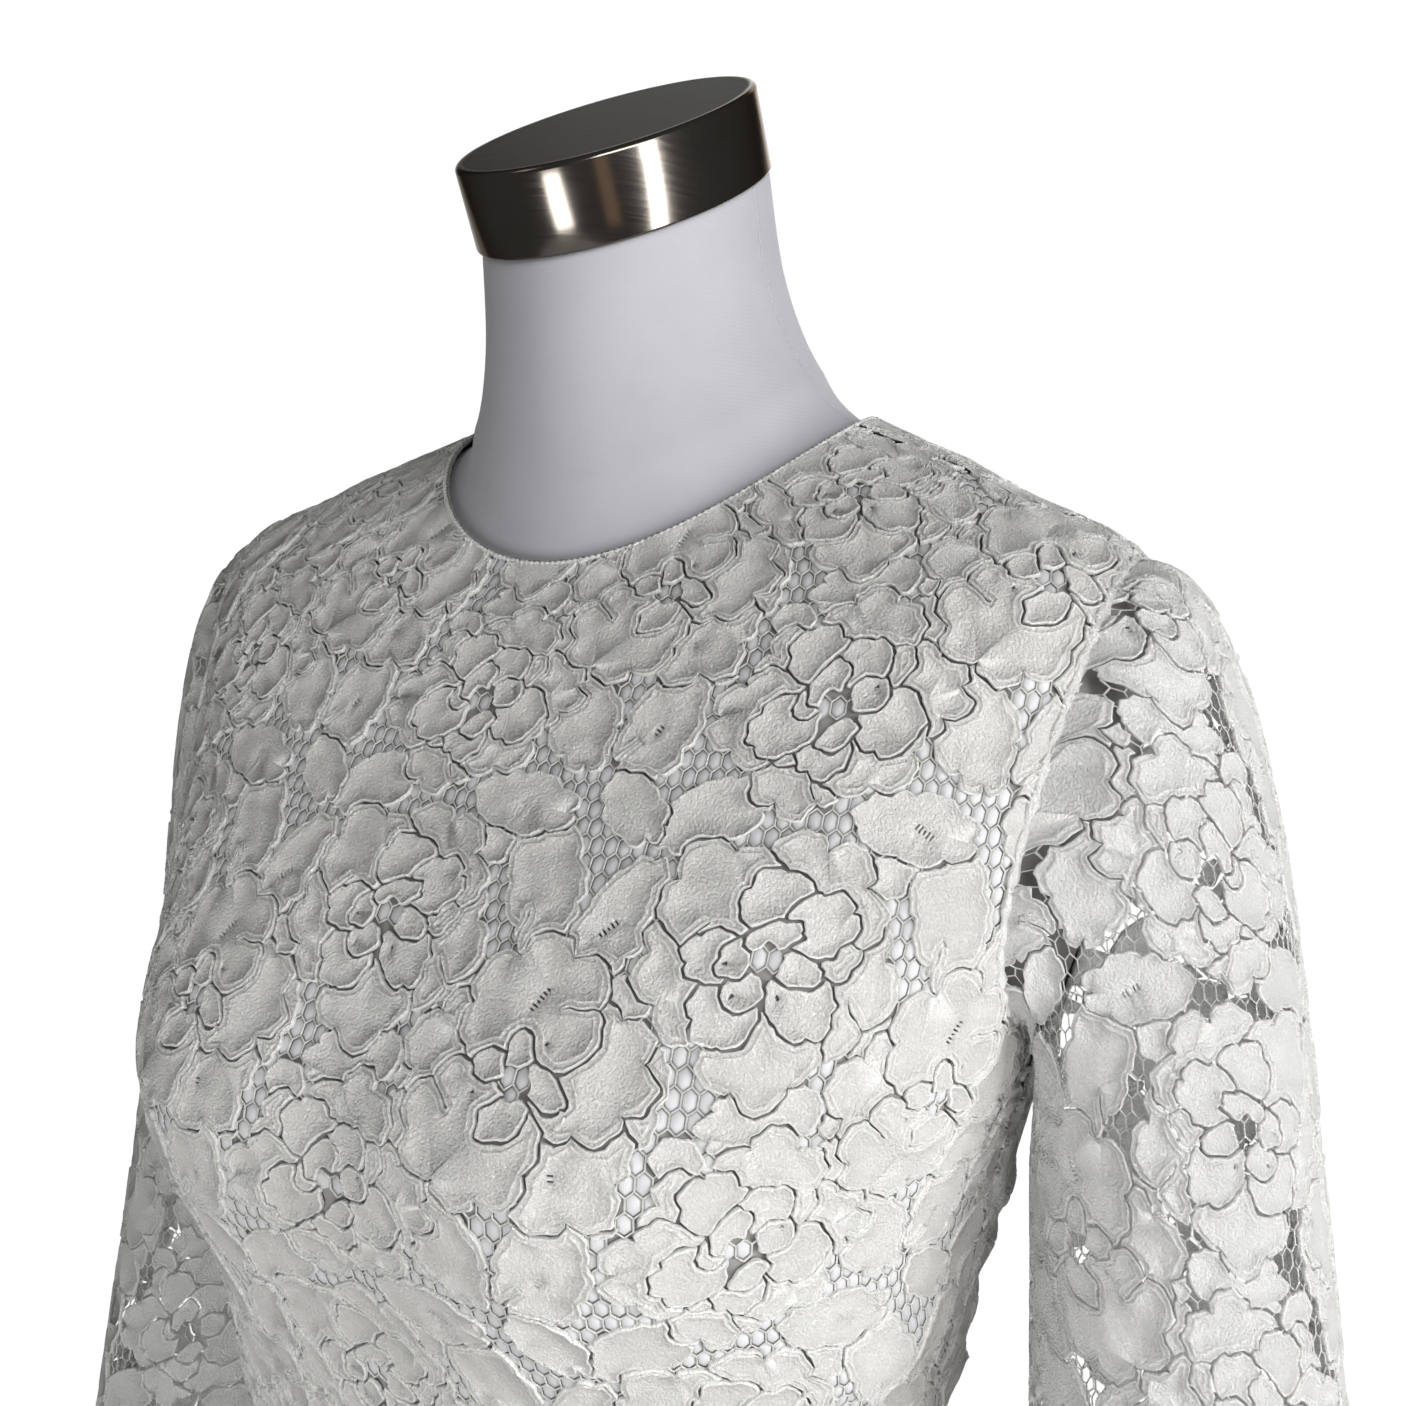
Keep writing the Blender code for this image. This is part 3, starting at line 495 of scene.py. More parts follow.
def tube(path: Array, normals: Array, radius: Union[float, Array], sides: int = 6,
         closed: bool = False, squash: float = 1.0) -> Patch:
    """Tube along a path.

    Args:
        path: points of the centre line.
        normals: outward direction at each point.
        radius: one radius, or one at each point.
        sides: number of sides.
        closed: whether the path is a ring.
        squash: height of the tube over its width.

    Returns:
        The tube as a patch, with closed ends where it isn't a ring.
    """
    ahead = np.roll(path, -1, 0) - np.roll(path, 1, 0)
    if not closed:
        ahead[0], ahead[-1] = path[1] - path[0], path[-1] - path[-2]
    side = unit(np.cross(unit(ahead), normals))
    up = np.cross(side, unit(ahead))
    turn = np.linspace(0.0, 2.0 * pi, sides, endpoint=False)
    radius = np.broadcast_to(np.asarray(radius, float), len(path))[:, None, None]
    rings = path[:, None] + radius * (np.cos(turn)[None, :, None] * side[:, None]
                                      + squash * np.sin(turn)[None, :, None] * up[:, None])
    end = (len(path) - 1) * sides
    if closed:
        first, following = np.arange(sides), np.roll(np.arange(sides), -1)
        ends = [(first + end, following + end, following), (first + end, following, first)]
    else:
        fan = np.arange(1, sides - 1)
        ends = [(0 * fan, fan + 1, fan), (0 * fan + end, fan + end, fan + 1 + end)]
    triangles = [grid_triangles(len(path), sides, True)] + [np.column_stack(corners) for corners in ends]
    return Patch(rings.reshape(-1, 3), np.concatenate(triangles), np.ones(len(path) * sides))


# Form of the garment


@dataclass(frozen=True)
class Station:
    """One ring of the dress's outer face."""

    centre_y: float
    height: float
    tilt: float
    half_width: float
    front: float
    back: float
    side_lift: float
    square: float


@dataclass(frozen=True)
class Fold:
    """A soft ridge or trough: angle in degrees, lengths in metres."""

    angle: float
    height: float
    half_length: float
    half_width: float
    lift: float
    lean: float


@dataclass
class Torso:
    """Outer face of the dress over the form, as part.py has it, with finer creases."""

    stations: tuple[Station, ...] = (
        Station(0.000, 0.500, 0.0, 0.208, 0.152, 0.164, 0.000, 2.00),
        Station(0.000, 0.610, 0.0, 0.198, 0.140, 0.153, 0.000, 2.00),
        Station(0.000, 0.720, 0.0, 0.185, 0.126, 0.140, 0.000, 2.05),
        Station(0.000, 0.820, 0.0, 0.170, 0.112, 0.127, 0.000, 2.10),
        Station(0.000, 0.915, 0.0, 0.146, 0.101, 0.107, 0.000, 2.10),
        Station(-0.001, 1.000, 0.0, 0.1235, 0.0935, 0.085, 0.000, 2.10),
        Station(-0.001, 1.085, 0.0, 0.1305, 0.108, 0.0965, 0.000, 2.20),
        Station(-0.002, 1.168, 0.0, 0.1480, 0.138, 0.108, 0.000, 2.32),
        Station(-0.007, 1.218, 0.0, 0.1620, 0.123, 0.112, 0.000, 2.36),
        Station(0.003, 1.297, 1.3, 0.186, 0.095, 0.103, 0.0475, 2.08),
        Station(0.003, 1.343, 11.0, 0.134, 0.079, 0.0915, 0.0375, 2.10),
        Station(0.0075, 1.373, 19.3, 0.080, 0.0705, 0.074, 0.0293, 2.00),
        Station(0.001, 1.399, 22.1, 0.062, 0.0633, 0.0654, 0.0165, 2.00),
        Station(-0.0085, 1.437, 26.3, 0.0503, 0.0602, 0.0608, 0.0035, 2.00),
        Station(-0.018, 1.475, 30.4, 0.0465, 0.0593, 0.0593, 0.000, 2.00),
    )
    yoke: float = 10.0
    neckline: float = 11.0
    neck_top: float = 14.0
    cup_side: float = 0.0847
    cup_height: float = 1.172
    cup_depth: float = 0.0171
    cup_half_width: float = 0.0446
    cup_half_height: float = 0.0486
    girth_radius: float = 0.13
    folds: tuple[Fold, ...] = (
        Fold(-40.0, 1.060, 0.080, 0.017, 0.0055, 38.0),
        Fold(-62.0, 1.030, 0.070, 0.016, 0.0050, 44.0),
        Fold(-20.0, 1.010, 0.070, 0.018, 0.0040, 34.0),
        Fold(70.0, 1.118, 0.045, 0.014, 0.0055, 82.0),
        Fold(76.0, 1.070, 0.042, 0.014, 0.0055, 80.0),
        Fold(74.0, 1.020, 0.045, 0.015, 0.0050, 82.0),
        Fold(128.0, 1.060, 0.060, 0.018, 0.0050, -60.0),
        Fold(-132.0, 1.035, 0.065, 0.018, 0.0050, 62.0),
        Fold(156.0, 0.985, 0.060, 0.018, 0.0045, -80.0),
        Fold(-158.0, 0.965, 0.060, 0.018, 0.0045, 80.0),
    )
    creases: tuple[Fold, ...] = (
        Fold(62.0, 1.140, 0.030, 0.006, 0.0016, 78.0),
        Fold(66.0, 1.094, 0.034, 0.006, 0.0018, 84.0),
        Fold(64.0, 1.046, 0.034, 0.007, 0.0018, 84.0),
        Fold(58.0, 1.198, 0.030, 0.007, 0.0014, 62.0),
        Fold(50.0, 1.235, 0.034, 0.008, 0.0012, 40.0),
        Fold(-48.0, 1.100, 0.050, 0.008, 0.0016, 40.0),
        Fold(-52.0, 1.060, 0.050, 0.008, 0.0016, 44.0),
        Fold(-30.0, 1.040, 0.050, 0.008, 0.0014, 36.0),
        Fold(-70.0, 1.110, 0.036, 0.007, 0.0016, 70.0),
        Fold(40.0, 1.275, 0.034, 0.010, 0.0010, 20.0),
        Fold(-38.0, 1.275, 0.034, 0.010, 0.0010, -20.0),
        Fold(0.0, 1.085, 0.060, 0.020, 0.0012, 86.0),
        Fold(104.0, 1.152, 0.036, 0.007, 0.0030, 84.0),
        Fold(108.0, 1.132, 0.040, 0.006, 0.0026, 94.0),
        Fold(114.0, 1.108, 0.034, 0.007, 0.0036, 86.0),
        Fold(116.0, 1.084, 0.036, 0.007, 0.0036, 92.0),
        Fold(-108.0, 1.146, 0.036, 0.007, 0.0030, 96.0),
        Fold(-112.0, 1.118, 0.038, 0.007, 0.0032, 86.0),
        Fold(-110.0, 1.088, 0.036, 0.007, 0.0032, 90.0),
    )
    armhole_low: float = 8.03
    armhole_top: float = 9.23
    armhole_front: float = 67.0
    armhole_back: float = 110.0
    armhole_bend: float = 0.45
    form_depth_body: float = 0.0056
    form_depth_neck: float = 0.0036
    form_bottom: float = 1.85

    def __post_init__(self) -> None:
        """Keep the stations as one table, and the armhole's middle."""
        self.table = np.array([astuple(station) for station in self.stations])
        self.armhole_middle = (self.armhole_low + self.armhole_top) / 2.0
        self.armhole_half = (self.armhole_top - self.armhole_low) / 2.0

    def ring(self, level: Array) -> Array:
        """Station values at a level, on a smooth curve through the table.

        Args:
            level: place from hem to neck.

        Returns:
            Station values in the last axis.
        """
        last = len(self.table) - 1
        level = np.clip(level, 0.0, last - 1e-9)
        index = np.floor(level).astype(int)
        t = (level - index)[..., None]
        before, start = self.table[np.maximum(index - 1, 0)], self.table[index]
        end, after = self.table[np.minimum(index + 1, last)], self.table[np.minimum(index + 2, last)]
        bend = 2.0 * before - 5.0 * start + 4.0 * end - after
        twist = 3.0 * start - before - 3.0 * end + after
        return start + 0.5 * ((end - before) * t + bend * t ** 2 + twist * t ** 3)

    def lift(self, angle: Array, height: Array, folds: Sequence[Fold]) -> Array:
        """How far folds lift the cloth at an angle (radians) and a height.

        Args:
            angle: radians from the front.
            height: metres above the floor.
            folds: folds that are added up.

        Returns:
            Lift in metres.
        """
        total = np.zeros(np.shape(height))
        for fold in folds:
            bearing = (angle - radians(fold.angle) + pi) % (2.0 * pi) - pi
            across, up = bearing * self.girth_radius, height - fold.height
            lean = radians(fold.lean)
            along = across * sin(lean) + up * cos(lean)
            aside = across * cos(lean) - up * sin(lean)
            spread = (aside / fold.half_width) ** 2 + (along / fold.half_length) ** 2
            total = total + fold.lift * np.exp(-spread)
        return total

    def point(self, angle: Array, level: Array, folded: bool = True) -> Array:
        """Outer face of the dress, and of the neck above it.

        Args:
            angle: radians from the front towards the wearer's left.
            level: place from hem to neck.
            folded: whether the cloth's folds are on it.

        Returns:
            Points in metres.
        """
        angle, level = np.broadcast_arrays(np.asarray(angle, float), np.asarray(level, float))
        values = np.moveaxis(self.ring(level), -1, 0)
        centre_y, height, tilt, half_width, front, back, side_lift, square = values
        side, ahead = np.sin(angle), np.cos(angle)
        power = 2.0 / square
        across = half_width * np.sign(side) * np.abs(side) ** power
        depth = np.where(ahead > 0.0, front, back) * np.sign(ahead) * np.abs(ahead) ** power
        tilt = np.radians(tilt)
        height = height - depth * np.sin(tilt) + side_lift * side ** 2
        cup = np.exp(-((np.abs(across) - self.cup_side) / self.cup_half_width) ** 2 / 2.0
                     - ((height - self.cup_height) / self.cup_half_height) ** 2 / 2.0)
        y = centre_y - depth * np.cos(tilt) - self.cup_depth * cup * np.clip(ahead, 0.0, 1.0)
        if not folded:
            return np.stack([across, y, height], -1)
        lift = self.lift(np.arctan2(side, ahead), height, self.folds + self.creases)
        return np.stack([across + lift * side, y - lift * ahead, height], -1)

    def normal(self, angle: Array, level: Array, folded: bool = True, step: float = 0.01) -> Array:
        """Outward direction of the face.

        Args:
            angle: radians from the front.
            level: place from hem to neck.
            folded: whether the cloth's folds are on it.
            step: half width of the slope's measure.

        Returns:
            Unit vectors.
        """
        around = self.point(angle + step, level, folded) - self.point(angle - step, level, folded)
        low = np.maximum(np.asarray(level, float) - step, 0.0)
        upward = self.point(angle, low + 2.0 * step, folded) - self.point(angle, low, folded)
        return unit(np.cross(around, upward))

    def armhole_share(self, level: Array) -> Array:
        """0 at the armhole's top and bottom, 1 at its middle."""
        place = np.clip((level - self.armhole_middle) / self.armhole_half, -1.0, 1.0)
        return (1.0 - place ** 2) ** self.armhole_bend

    def front_limit(self, level: Array) -> Array:
        """Angle of the front panel's edge."""
        return np.radians(90.0 - (90.0 - self.armhole_front) * self.armhole_share(level))

    def back_limit(self, level: Array) -> Array:
        """Angle of the back panel's edge."""
        return np.radians(90.0 + (self.armhole_back - 90.0) * self.armhole_share(level))

    def armhole_place(self, turn: Array) -> Arrays:
        """Angle and level of the left armhole: turn 0 at the shoulder, 90 degrees at the front."""
        level = self.armhole_middle + self.armhole_half * np.cos(turn)
        return np.where(np.sin(turn) > 0.0, self.front_limit(level), self.back_limit(level)), level

    def armhole(self, turn: Array) -> Array:
        """Edge of the left armhole in space."""
        return self.point(*self.armhole_place(turn))

    def form_depth(self, level: Array) -> Array:
        """How far the form lies under the dress's outer face.

        Args:
            level: place from hem to neck.

        Returns:
            Depth in metres.
        """
        blend = np.clip((level - self.armhole_top) / (self.yoke - self.armhole_top), 0.0, 1.0)
        depth = self.form_depth_body + (self.form_depth_neck - self.form_depth_body) * blend
        return depth * np.clip(self.neckline + 1.0 - level, 0.0, 1.0)


class Cut(Enum):
    """The three cut panels of the body."""

    FRONT = "front"
    BACK_LEFT = "back_left"
    BACK_RIGHT = "back_right"


class CutPanel:
    """A panel of the body with its flat cut, so that lace lies on it undistorted."""

    spans = {Cut.FRONT: (-90.0, 90.0, 49), Cut.BACK_LEFT: (90.0, 180.0, 25),
             Cut.BACK_RIGHT: (180.0, 270.0, 25)}
    rows = 100
    easing = 0.28
    outside = 8.0

    def __init__(self, torso: Torso, cut: Cut, first_level: float = 0.0) -> None:
        """Lay out the panel's grid and flatten it.

        Args:
            torso: form of the dress.
            cut: which panel it is.
            first_level: level of its lower edge.
        """
        self.torso, self.cut = torso, cut
        start, end, columns = self.spans[cut]
        angles = np.radians(np.linspace(start, end, columns))
        levels = np.linspace(first_level, torso.neckline, self.rows)
        self.angle, self.level = np.meshgrid(angles, levels)
        self.flat = self._flattened(torso.point(self.angle, self.level))

    def _flattened(self, surface: Array, rounds: int = 1500) -> Array:
        """Relax the grid in the plane until its edges have their real lengths.

        Args:
            surface: points of the grid in space.
            rounds: number of relaxing steps.

        Returns:
            Flat places in millimetres: across to the wearer's left, and down.
        """
        surface = surface / MM
        around = np.linalg.norm(np.diff(surface, axis=1), axis=-1)
        upward = np.linalg.norm(np.diff(surface, axis=0), axis=-1)
        across = np.concatenate([np.zeros((len(surface), 1)), np.cumsum(around, axis=1)], axis=1)
        fixed = {Cut.FRONT: surface.shape[1] // 2, Cut.BACK_LEFT: -1, Cut.BACK_RIGHT: 0}[self.cut]
        across = across - across[:, fixed][:, None]
        raised = np.concatenate([np.zeros((1, surface.shape[1])), np.cumsum(upward, axis=0)])
        flat = np.stack([across, -raised], -1)
        slices = [(np.s_[:, :-1], np.s_[:, 1:]), (np.s_[:-1], np.s_[1:]),
                  (np.s_[:-1, :-1], np.s_[1:, 1:]), (np.s_[:-1, 1:], np.s_[1:, :-1])]
        rests = [np.linalg.norm(surface[b] - surface[a], axis=-1) for a, b in slices]
        for _ in range(rounds):
            move = np.zeros(flat.shape)
            for (a, b), rest in zip(slices, rests):
                gap = flat[b] - flat[a]
                length = np.linalg.norm(gap, axis=-1)
                pull = gap * ((length - rest) / np.maximum(length, 1e-6))[..., None] * 0.5
                move[a] += pull
                move[b] -= pull
            flat = flat + move * self.easing
            flat[:, fixed, 0] = 0.0
        return flat

    def _sample(self, column: Array, row: Array, grid: Array) -> tuple[Array, Array, Array]:
        """Value of a grid and its two slopes at places between its points.

        Args:
            column: place along the rows.
            row: place up the columns.
            grid: values at the grid's points.

        Returns:
            Value, slope along a row and slope up a column.
        """
        rows, columns = grid.shape[:2]
        i = np.clip(np.floor(column).astype(int), 0, columns - 2)
        j = np.clip(np.floor(row).astype(int), 0, rows - 2)
        s, t = (column - i)[:, None], (row - j)[:, None]
        low, low_next, high, high_next = grid[j, i], grid[j, i + 1], grid[j + 1, i], grid[j + 1, i + 1]
        value = (low * (1 - s) + low_next * s) * (1 - t) + (high * (1 - s) + high_next * s) * t
        along = (low_next - low) * (1 - t) + (high_next - high) * t
        upward = (high - low) * (1 - s) + (high_next - low_next) * s
        return value, along, upward

    def locate(self, flat: Array) -> Array:
        """Grid place (column, row) of flat pattern points, also a little outside.

        Args:
            flat: places on the flat cut in millimetres.

        Returns:
            Column and row of each.
        """
        rows, columns = self.flat.shape[:2]
        middle = self.flat[:, columns // 2, 1]
        row = np.interp(flat[:, 1], middle[::-1], np.arange(rows)[::-1].astype(float))
        j = np.clip(np.round(row).astype(int), 0, rows - 1)
        left, right = self.flat[j, 0, 0], self.flat[j, -1, 0]
        column = np.clip((flat[:, 0] - left) / (right - left), -0.1, 1.1) * (columns - 1)
        for _ in range(12):
            value, along, upward = self._sample(column, row, self.flat)
            error = flat - value
            area = along[:, 0] * upward[:, 1] - along[:, 1] * upward[:, 0]
            area = np.where(np.abs(area) < 1e-6, 1e-6, area)
            step_column = (error[:, 0] * upward[:, 1] - error[:, 1] * upward[:, 0]) / area
            step_row = (along[:, 0] * error[:, 1] - along[:, 1] * error[:, 0]) / area
            column, row = column + np.clip(step_column, -3, 3), row + np.clip(step_row, -3, 3)
            column = np.clip(column, -self.outside, columns - 1 + self.outside)
            row = np.clip(row, -self.outside, rows - 1 + self.outside)
        return np.column_stack([column, row])

    def signed(self, place: Array, margin: float = 0.15) -> Array:
        """Millimetres, roughly, inside the panel's edges.

        Args:
            place: grid places.
            margin: millimetres that are left free.

        Returns:
            Positive inside, negative outside.
        """
        rows, columns = self.flat.shape[:2]
        _, along, upward = self._sample(place[:, 0], place[:, 1], self.flat)
        wide, tall = np.linalg.norm(along, axis=-1), np.linalg.norm(upward, axis=-1)
        wide = wide / (self.angle[0, 1] - self.angle[0, 0])
        angle, level = self.angle_level(place)
        ends = np.minimum(place[:, 1], rows - 1 - place[:, 1]) * tall
        return np.minimum(self._within(angle, level) * wide, ends) - margin

    def _within(self, angle: Array, level: Array) -> Array:
        """Radians between an angle and the nearer side edge of the panel.

        Args:
            angle: radians from the front.
            level: place from hem to neck.

        Returns:
            Radians, negative outside the panel.
        """
        if self.cut is Cut.FRONT:
            return self.torso.front_limit(level) - np.abs(angle)
        turned = angle if self.cut is Cut.BACK_LEFT else 2.0 * pi - angle
        return np.minimum(turned - self.torso.back_limit(level), pi - turned)

    def angle_level(self, place: Array) -> Arrays:
        """Angle and level of grid places."""
        value = self._sample(place[:, 0], place[:, 1], np.stack([self.angle, self.level], -1))[0]
        return value[:, 0], value[:, 1]

    def surface(self, place: Array, height: Array) -> Array:
        """Points in space at grid places and heights above the outer face."""
        angle, level = self.angle_level(place)
        return self.torso.point(angle, level) + self.torso.normal(angle, level) * height[:, None]

    def extent(self) -> Arrays:
        """Lowest and highest corner of the flat cut in millimetres."""
        return self.flat.reshape(-1, 2).min(0), self.flat.reshape(-1, 2).max(0)

    def _cells(self) -> Arrays:
        """Flat area in square metres and height of each cell of the cut.

        Returns:
            Areas and heights of the cells on the panel.
        """
        flat = self.flat * MM
        first = flat[1:, 1:] - flat[:-1, :-1]
        second = flat[1:, :-1] - flat[:-1, 1:]
        cells = np.abs(first[..., 0] * second[..., 1] - first[..., 1] * second[..., 0]) / 2.0
        angle, level = [(grid[1:, 1:] + grid[:-1, :-1]) / 2.0 for grid in (self.angle, self.level)]
        kept = self._within(angle, level) > 0.0
        return cells[kept], self.torso.point(angle, level)[..., 2][kept]

    def area(self) -> float:
        """Area of the flat cut in square metres."""
        return float(self._cells()[0].sum())

    def area_below(self, height: float) -> Pair:
        """Area and length of the cut below a height.

        Args:
            height: metres above the floor.

        Returns:
            Square metres, and metres down the middle.
        """
        cells, heights = self._cells()
        column = self.angle.shape[1] // 2
        middle = self.torso.point(self.angle, self.level)[:, column, 2]
        down = self.flat[:, column, 1] * MM
        length = float(down[0] - np.interp(height, middle, down))
        return float(cells[heights < height].sum()), length


@dataclass(frozen=True)
class SleeveRing:
    """Level ring of the hanging sleeve."""

    x: float
    y: float
    height: float
    half_width: float
    half_depth: float


@dataclass
class Sleeve:
    """One loose lace sleeve, as part.py has it, with its flat pattern."""

    torso: Torso
    mirror: float = 1.0
    arm: SleeveRing = SleeveRing(0.1975, 0.0250, 1.170, 0.0430, 0.0560)
    hem: SleeveRing = SleeveRing(0.2270, 0.0310, 0.900, 0.0560, 0.0630)
    cap_out: float = 0.036
    cap_out_top: float = 0.35
    cap_rise: float = 0.056
    cap_rise_top: float = 0.40
    cap_lean: float = 0.12
    waves: int = 5
    wave_lift: float = 0.0035
    wave_start: float = 0.8
    cap_rows: int = 30
    crease_length: float = 0.45
    creases: tuple[tuple[float, float, float, float], ...] = (
        (78.0, 1.65, 9.0, 0.0016), (112.0, 1.75, 8.0, 0.0020), (146.0, 1.70, 8.0, 0.0016),
        (40.0, 1.80, 9.0, 0.0014), (8.0, 1.80, 9.0, 0.0014), (-40.0, 1.70, 10.0, 0.0016),
        (-95.0, 1.75, 9.0, 0.0018), (-140.0, 1.70, 9.0, 0.0016),
    )

    def __post_init__(self) -> None:
        """Measure the sleeve's flat pattern."""
        self.turns = np.linspace(-pi, pi, 73)
        share = np.linspace(0.0, 1.0, self.cap_rows + 1)
        self.runs = np.concatenate([share, 1.0 + share[1:]])
        turn, run = np.meshgrid(self.turns, self.runs, indexing="ij")
        steps = np.linalg.norm(np.diff(self._point(turn, run), axis=1), axis=-1)
        length = np.concatenate([np.zeros((len(self.turns), 1)), np.cumsum(steps, axis=1)], axis=1)
        self.down = (length - length[:, [self.cap_rows]]) / MM
        self.arm_radius = hypot(self.arm.half_width, self.arm.half_depth) / 2.0 ** 0.5 / MM
        self.hem_radius = hypot(self.hem.half_width, self.hem.half_depth) / 2.0 ** 0.5 / MM
        self.hem_down = float(self.down[:, -1].mean())
        self.top_down = float(self.down[:, 0].min())
        self.down_steps = np.linspace(self.top_down - 20.0, self.hem_down + 5.0, 241)
        self.run_table = np.array([self._runs_at(column) for column in self.down])

    def _runs_at(self, column: Array) -> Array:
        """Run at even steps down, going on past both ends.

        Args:
            column: way down in millimetres at each run.

        Returns:
            The run at each step down.
        """
        slope_top = (self.runs[1] - self.runs[0]) / (column[1] - column[0])
        slope_low = (self.runs[-1] - self.runs[-2]) / (column[-1] - column[-2])
        run = np.interp(self.down_steps, column, self.runs)
        above, below = self.down_steps < column[0], self.down_steps > column[-1]
        run = np.where(above, (self.down_steps - column[0]) * slope_top, run)
        return np.where(below, 2.0 + (self.down_steps - column[-1]) * slope_low, run)

    def _section(self, turn: Array, share: Array) -> Array:
        """Ring of the hanging part: share 0 under the arm, 1 at the hem.

        Args:
            turn: radians round the sleeve.
            share: share of the way down.

        Returns:
            Points in metres.
        """
        low, high = self.arm, self.hem
        half_width = low.half_width + (high.half_width - low.half_width) * share
        half_depth = low.half_depth + (high.half_depth - low.half_depth) * share
        wave = self.wave_lift * share ** 2 * np.cos(self.waves * turn + self.wave_start)
        x = low.x + (high.x - low.x) * share + (half_width + wave) * np.cos(turn)
        y = low.y + (high.y - low.y) * share - (half_depth + wave) * np.sin(turn)
        return np.stack([x, y, low.height + (high.height - low.height) * share + 0.0 * turn], -1)

    def _point(self, turn: Array, run: Array) -> Array:
        """Outer face of the left sleeve: run 0 to 1 is the cap, 1 to 2 hangs.

        Args:
            turn: radians round the sleeve.
            run: place from armhole to hem.

        Returns:
            Points in metres.
        """
        turn, run = np.broadcast_arrays(np.asarray(turn, float), np.asarray(run, float))
        armhole = self.torso.armhole(turn)
        arm = self._section(turn, np.zeros(turn.shape))
        axis = unit(self._section(turn, np.ones(turn.shape)) - arm)
        outward = unit(np.array([1.0, 0.0, self.cap_lean]))
        leave = (self.cap_out * (1.0 - self.cap_out_top * (1.0 - np.cos(turn))))[..., None]
        rise = (self.cap_rise * (1.0 - self.cap_rise_top * (1.0 - np.cos(turn))))[..., None]
        first, second = armhole + outward * leave, arm - axis * rise
        t = np.clip(run, 0.0, 1.0)[..., None]
        left = 1 - t
        cap = left ** 3 * armhole + 3 * left ** 2 * t * first + 3 * left * t ** 2 * second + t ** 3 * arm
        hang = self._section(turn, np.clip(run - 1.0, 0.0, 1.0))
        return np.where((run <= 1.0)[..., None], cap, hang)

    def _crease(self, turn: Array, run: Array) -> Array:
        """Soft lengthwise folds of the hanging part.

        Args:
            turn: radians round the sleeve.
            run: place from armhole to hem.

        Returns:
            Lift in metres.
        """
        total = np.zeros(turn.shape)
        for angle, middle, half_width, lift in self.creases:
            bearing = (turn - radians(angle) + pi) % (2.0 * pi) - pi
            spread = (bearing / radians(half_width)) ** 2 + ((run - middle) / self.crease_length) ** 2
            total += lift * np.exp(-spread)
        return total

    def point(self, turn: Array, run: Array) -> Array:
        """Outer face with its creases, on the sleeve's own side.

        Args:
            turn: radians round the sleeve.
            run: place from armhole to hem.

        Returns:
            Points in metres.
        """
        plain = self._point(turn, run)
        outward = plain - self._point(turn + pi, run)
        outward[..., 2] = 0.0
        made = plain + unit(outward) * self._crease(turn, run)[..., None]
        return made * np.array([self.mirror, 1.0, 1.0])

    def normal(self, turn: Array, run: Array, step: float = 0.01) -> Array:
        """Outward direction of the face.

        Args:
            turn: radians round the sleeve.
            run: place from armhole to hem.
            step: half width of the slope's measure.

        Returns:
            Unit vectors.
        """
        around = self.point(turn + step, run) - self.point(turn - step, run)
        low = np.clip(run - step, 0.0, 2.0 - 2.0 * step)
        onward = self.point(turn, low + 2.0 * step) - self.point(turn, low)
        return unit(np.cross(around, onward)) * self.mirror

    def radius(self, down: Array) -> Array:
        """Radius of the flat pattern's roll, in millimetres."""
        share = np.clip(down / self.hem_down, 0.0, 1.0)
        return self.arm_radius + (self.hem_radius - self.arm_radius) * share

    def locate(self, flat: Array) -> Array:
        """Turn and run of flat pattern points.

        Args:
            flat: places on the flat cut in millimetres.

        Returns:
            Turn and run of each.
        """
        turn = flat[:, 0] / self.radius(flat[:, 1])
        column = (np.clip(turn, -pi, pi) + pi) / (2.0 * pi) * (len(self.turns) - 1)
        i = np.clip(column.astype(int), 0, len(self.turns) - 2)
        step = self.down_steps[1] - self.down_steps[0]
        row = np.clip((flat[:, 1] - self.down_steps[0]) / step, 0.0, len(self.down_steps) - 1.001)
        j = row.astype(int)
        s, t = column - i, row - j
        low = self.run_table[i, j] * (1 - s) + self.run_table[i + 1, j] * s
        high = self.run_table[i, j + 1] * (1 - s) + self.run_table[i + 1, j + 1] * s
        return np.column_stack([turn, low * (1 - t) + high * t])

    def signed(self, place: Array, margin: float = 0.15) -> Array:
        """Millimetres, roughly, inside the sleeve's edges.

        Args:
            place: turn and run of each point.
            margin: millimetres that are left free.

        Returns:
            Positive inside, negative outside.
        """
        around = (pi - np.abs(place[:, 0])) * self.arm_radius
        top = place[:, 1] * np.interp(place[:, 0], self.turns, -self.down[:, 0])
        low = (2.0 - place[:, 1]) * self.hem_down
        return np.minimum(around, np.minimum(top, low)) - margin

    def surface(self, place: Array, height: Array) -> Array:
        """Points in space at places and heights above the outer face."""
        turn, run = place[:, 0], np.clip(place[:, 1], 0.0, 2.0)
        return self.point(turn, run) + self.normal(turn, run) * height[:, None]

    def extent(self) -> Arrays:
        """Lowest and highest corner of the flat pattern in millimetres."""
        half = pi * self.hem_radius
        return np.array([-half, self.top_down]), np.array([half, self.hem_down])

    def area(self) -> float:
        """Area of the flat pattern in square metres.

        Returns:
            Square metres.
        """
        width = 2.0 * pi * self.radius(np.linspace(0.0, self.hem_down, 21)).mean()
        cap = -self.down[:, 0].mean() * 2.0 * pi * self.arm_radius
        return (width * self.hem_down + cap) * MM ** 2


def flat_size(panel: Union[CutPanel, Sleeve]) -> Pair:
    """Width and height of a panel's flat cut in metres."""
    low, high = panel.extent()
    return tuple(((high - low) * MM).tolist())


# Design of the lace

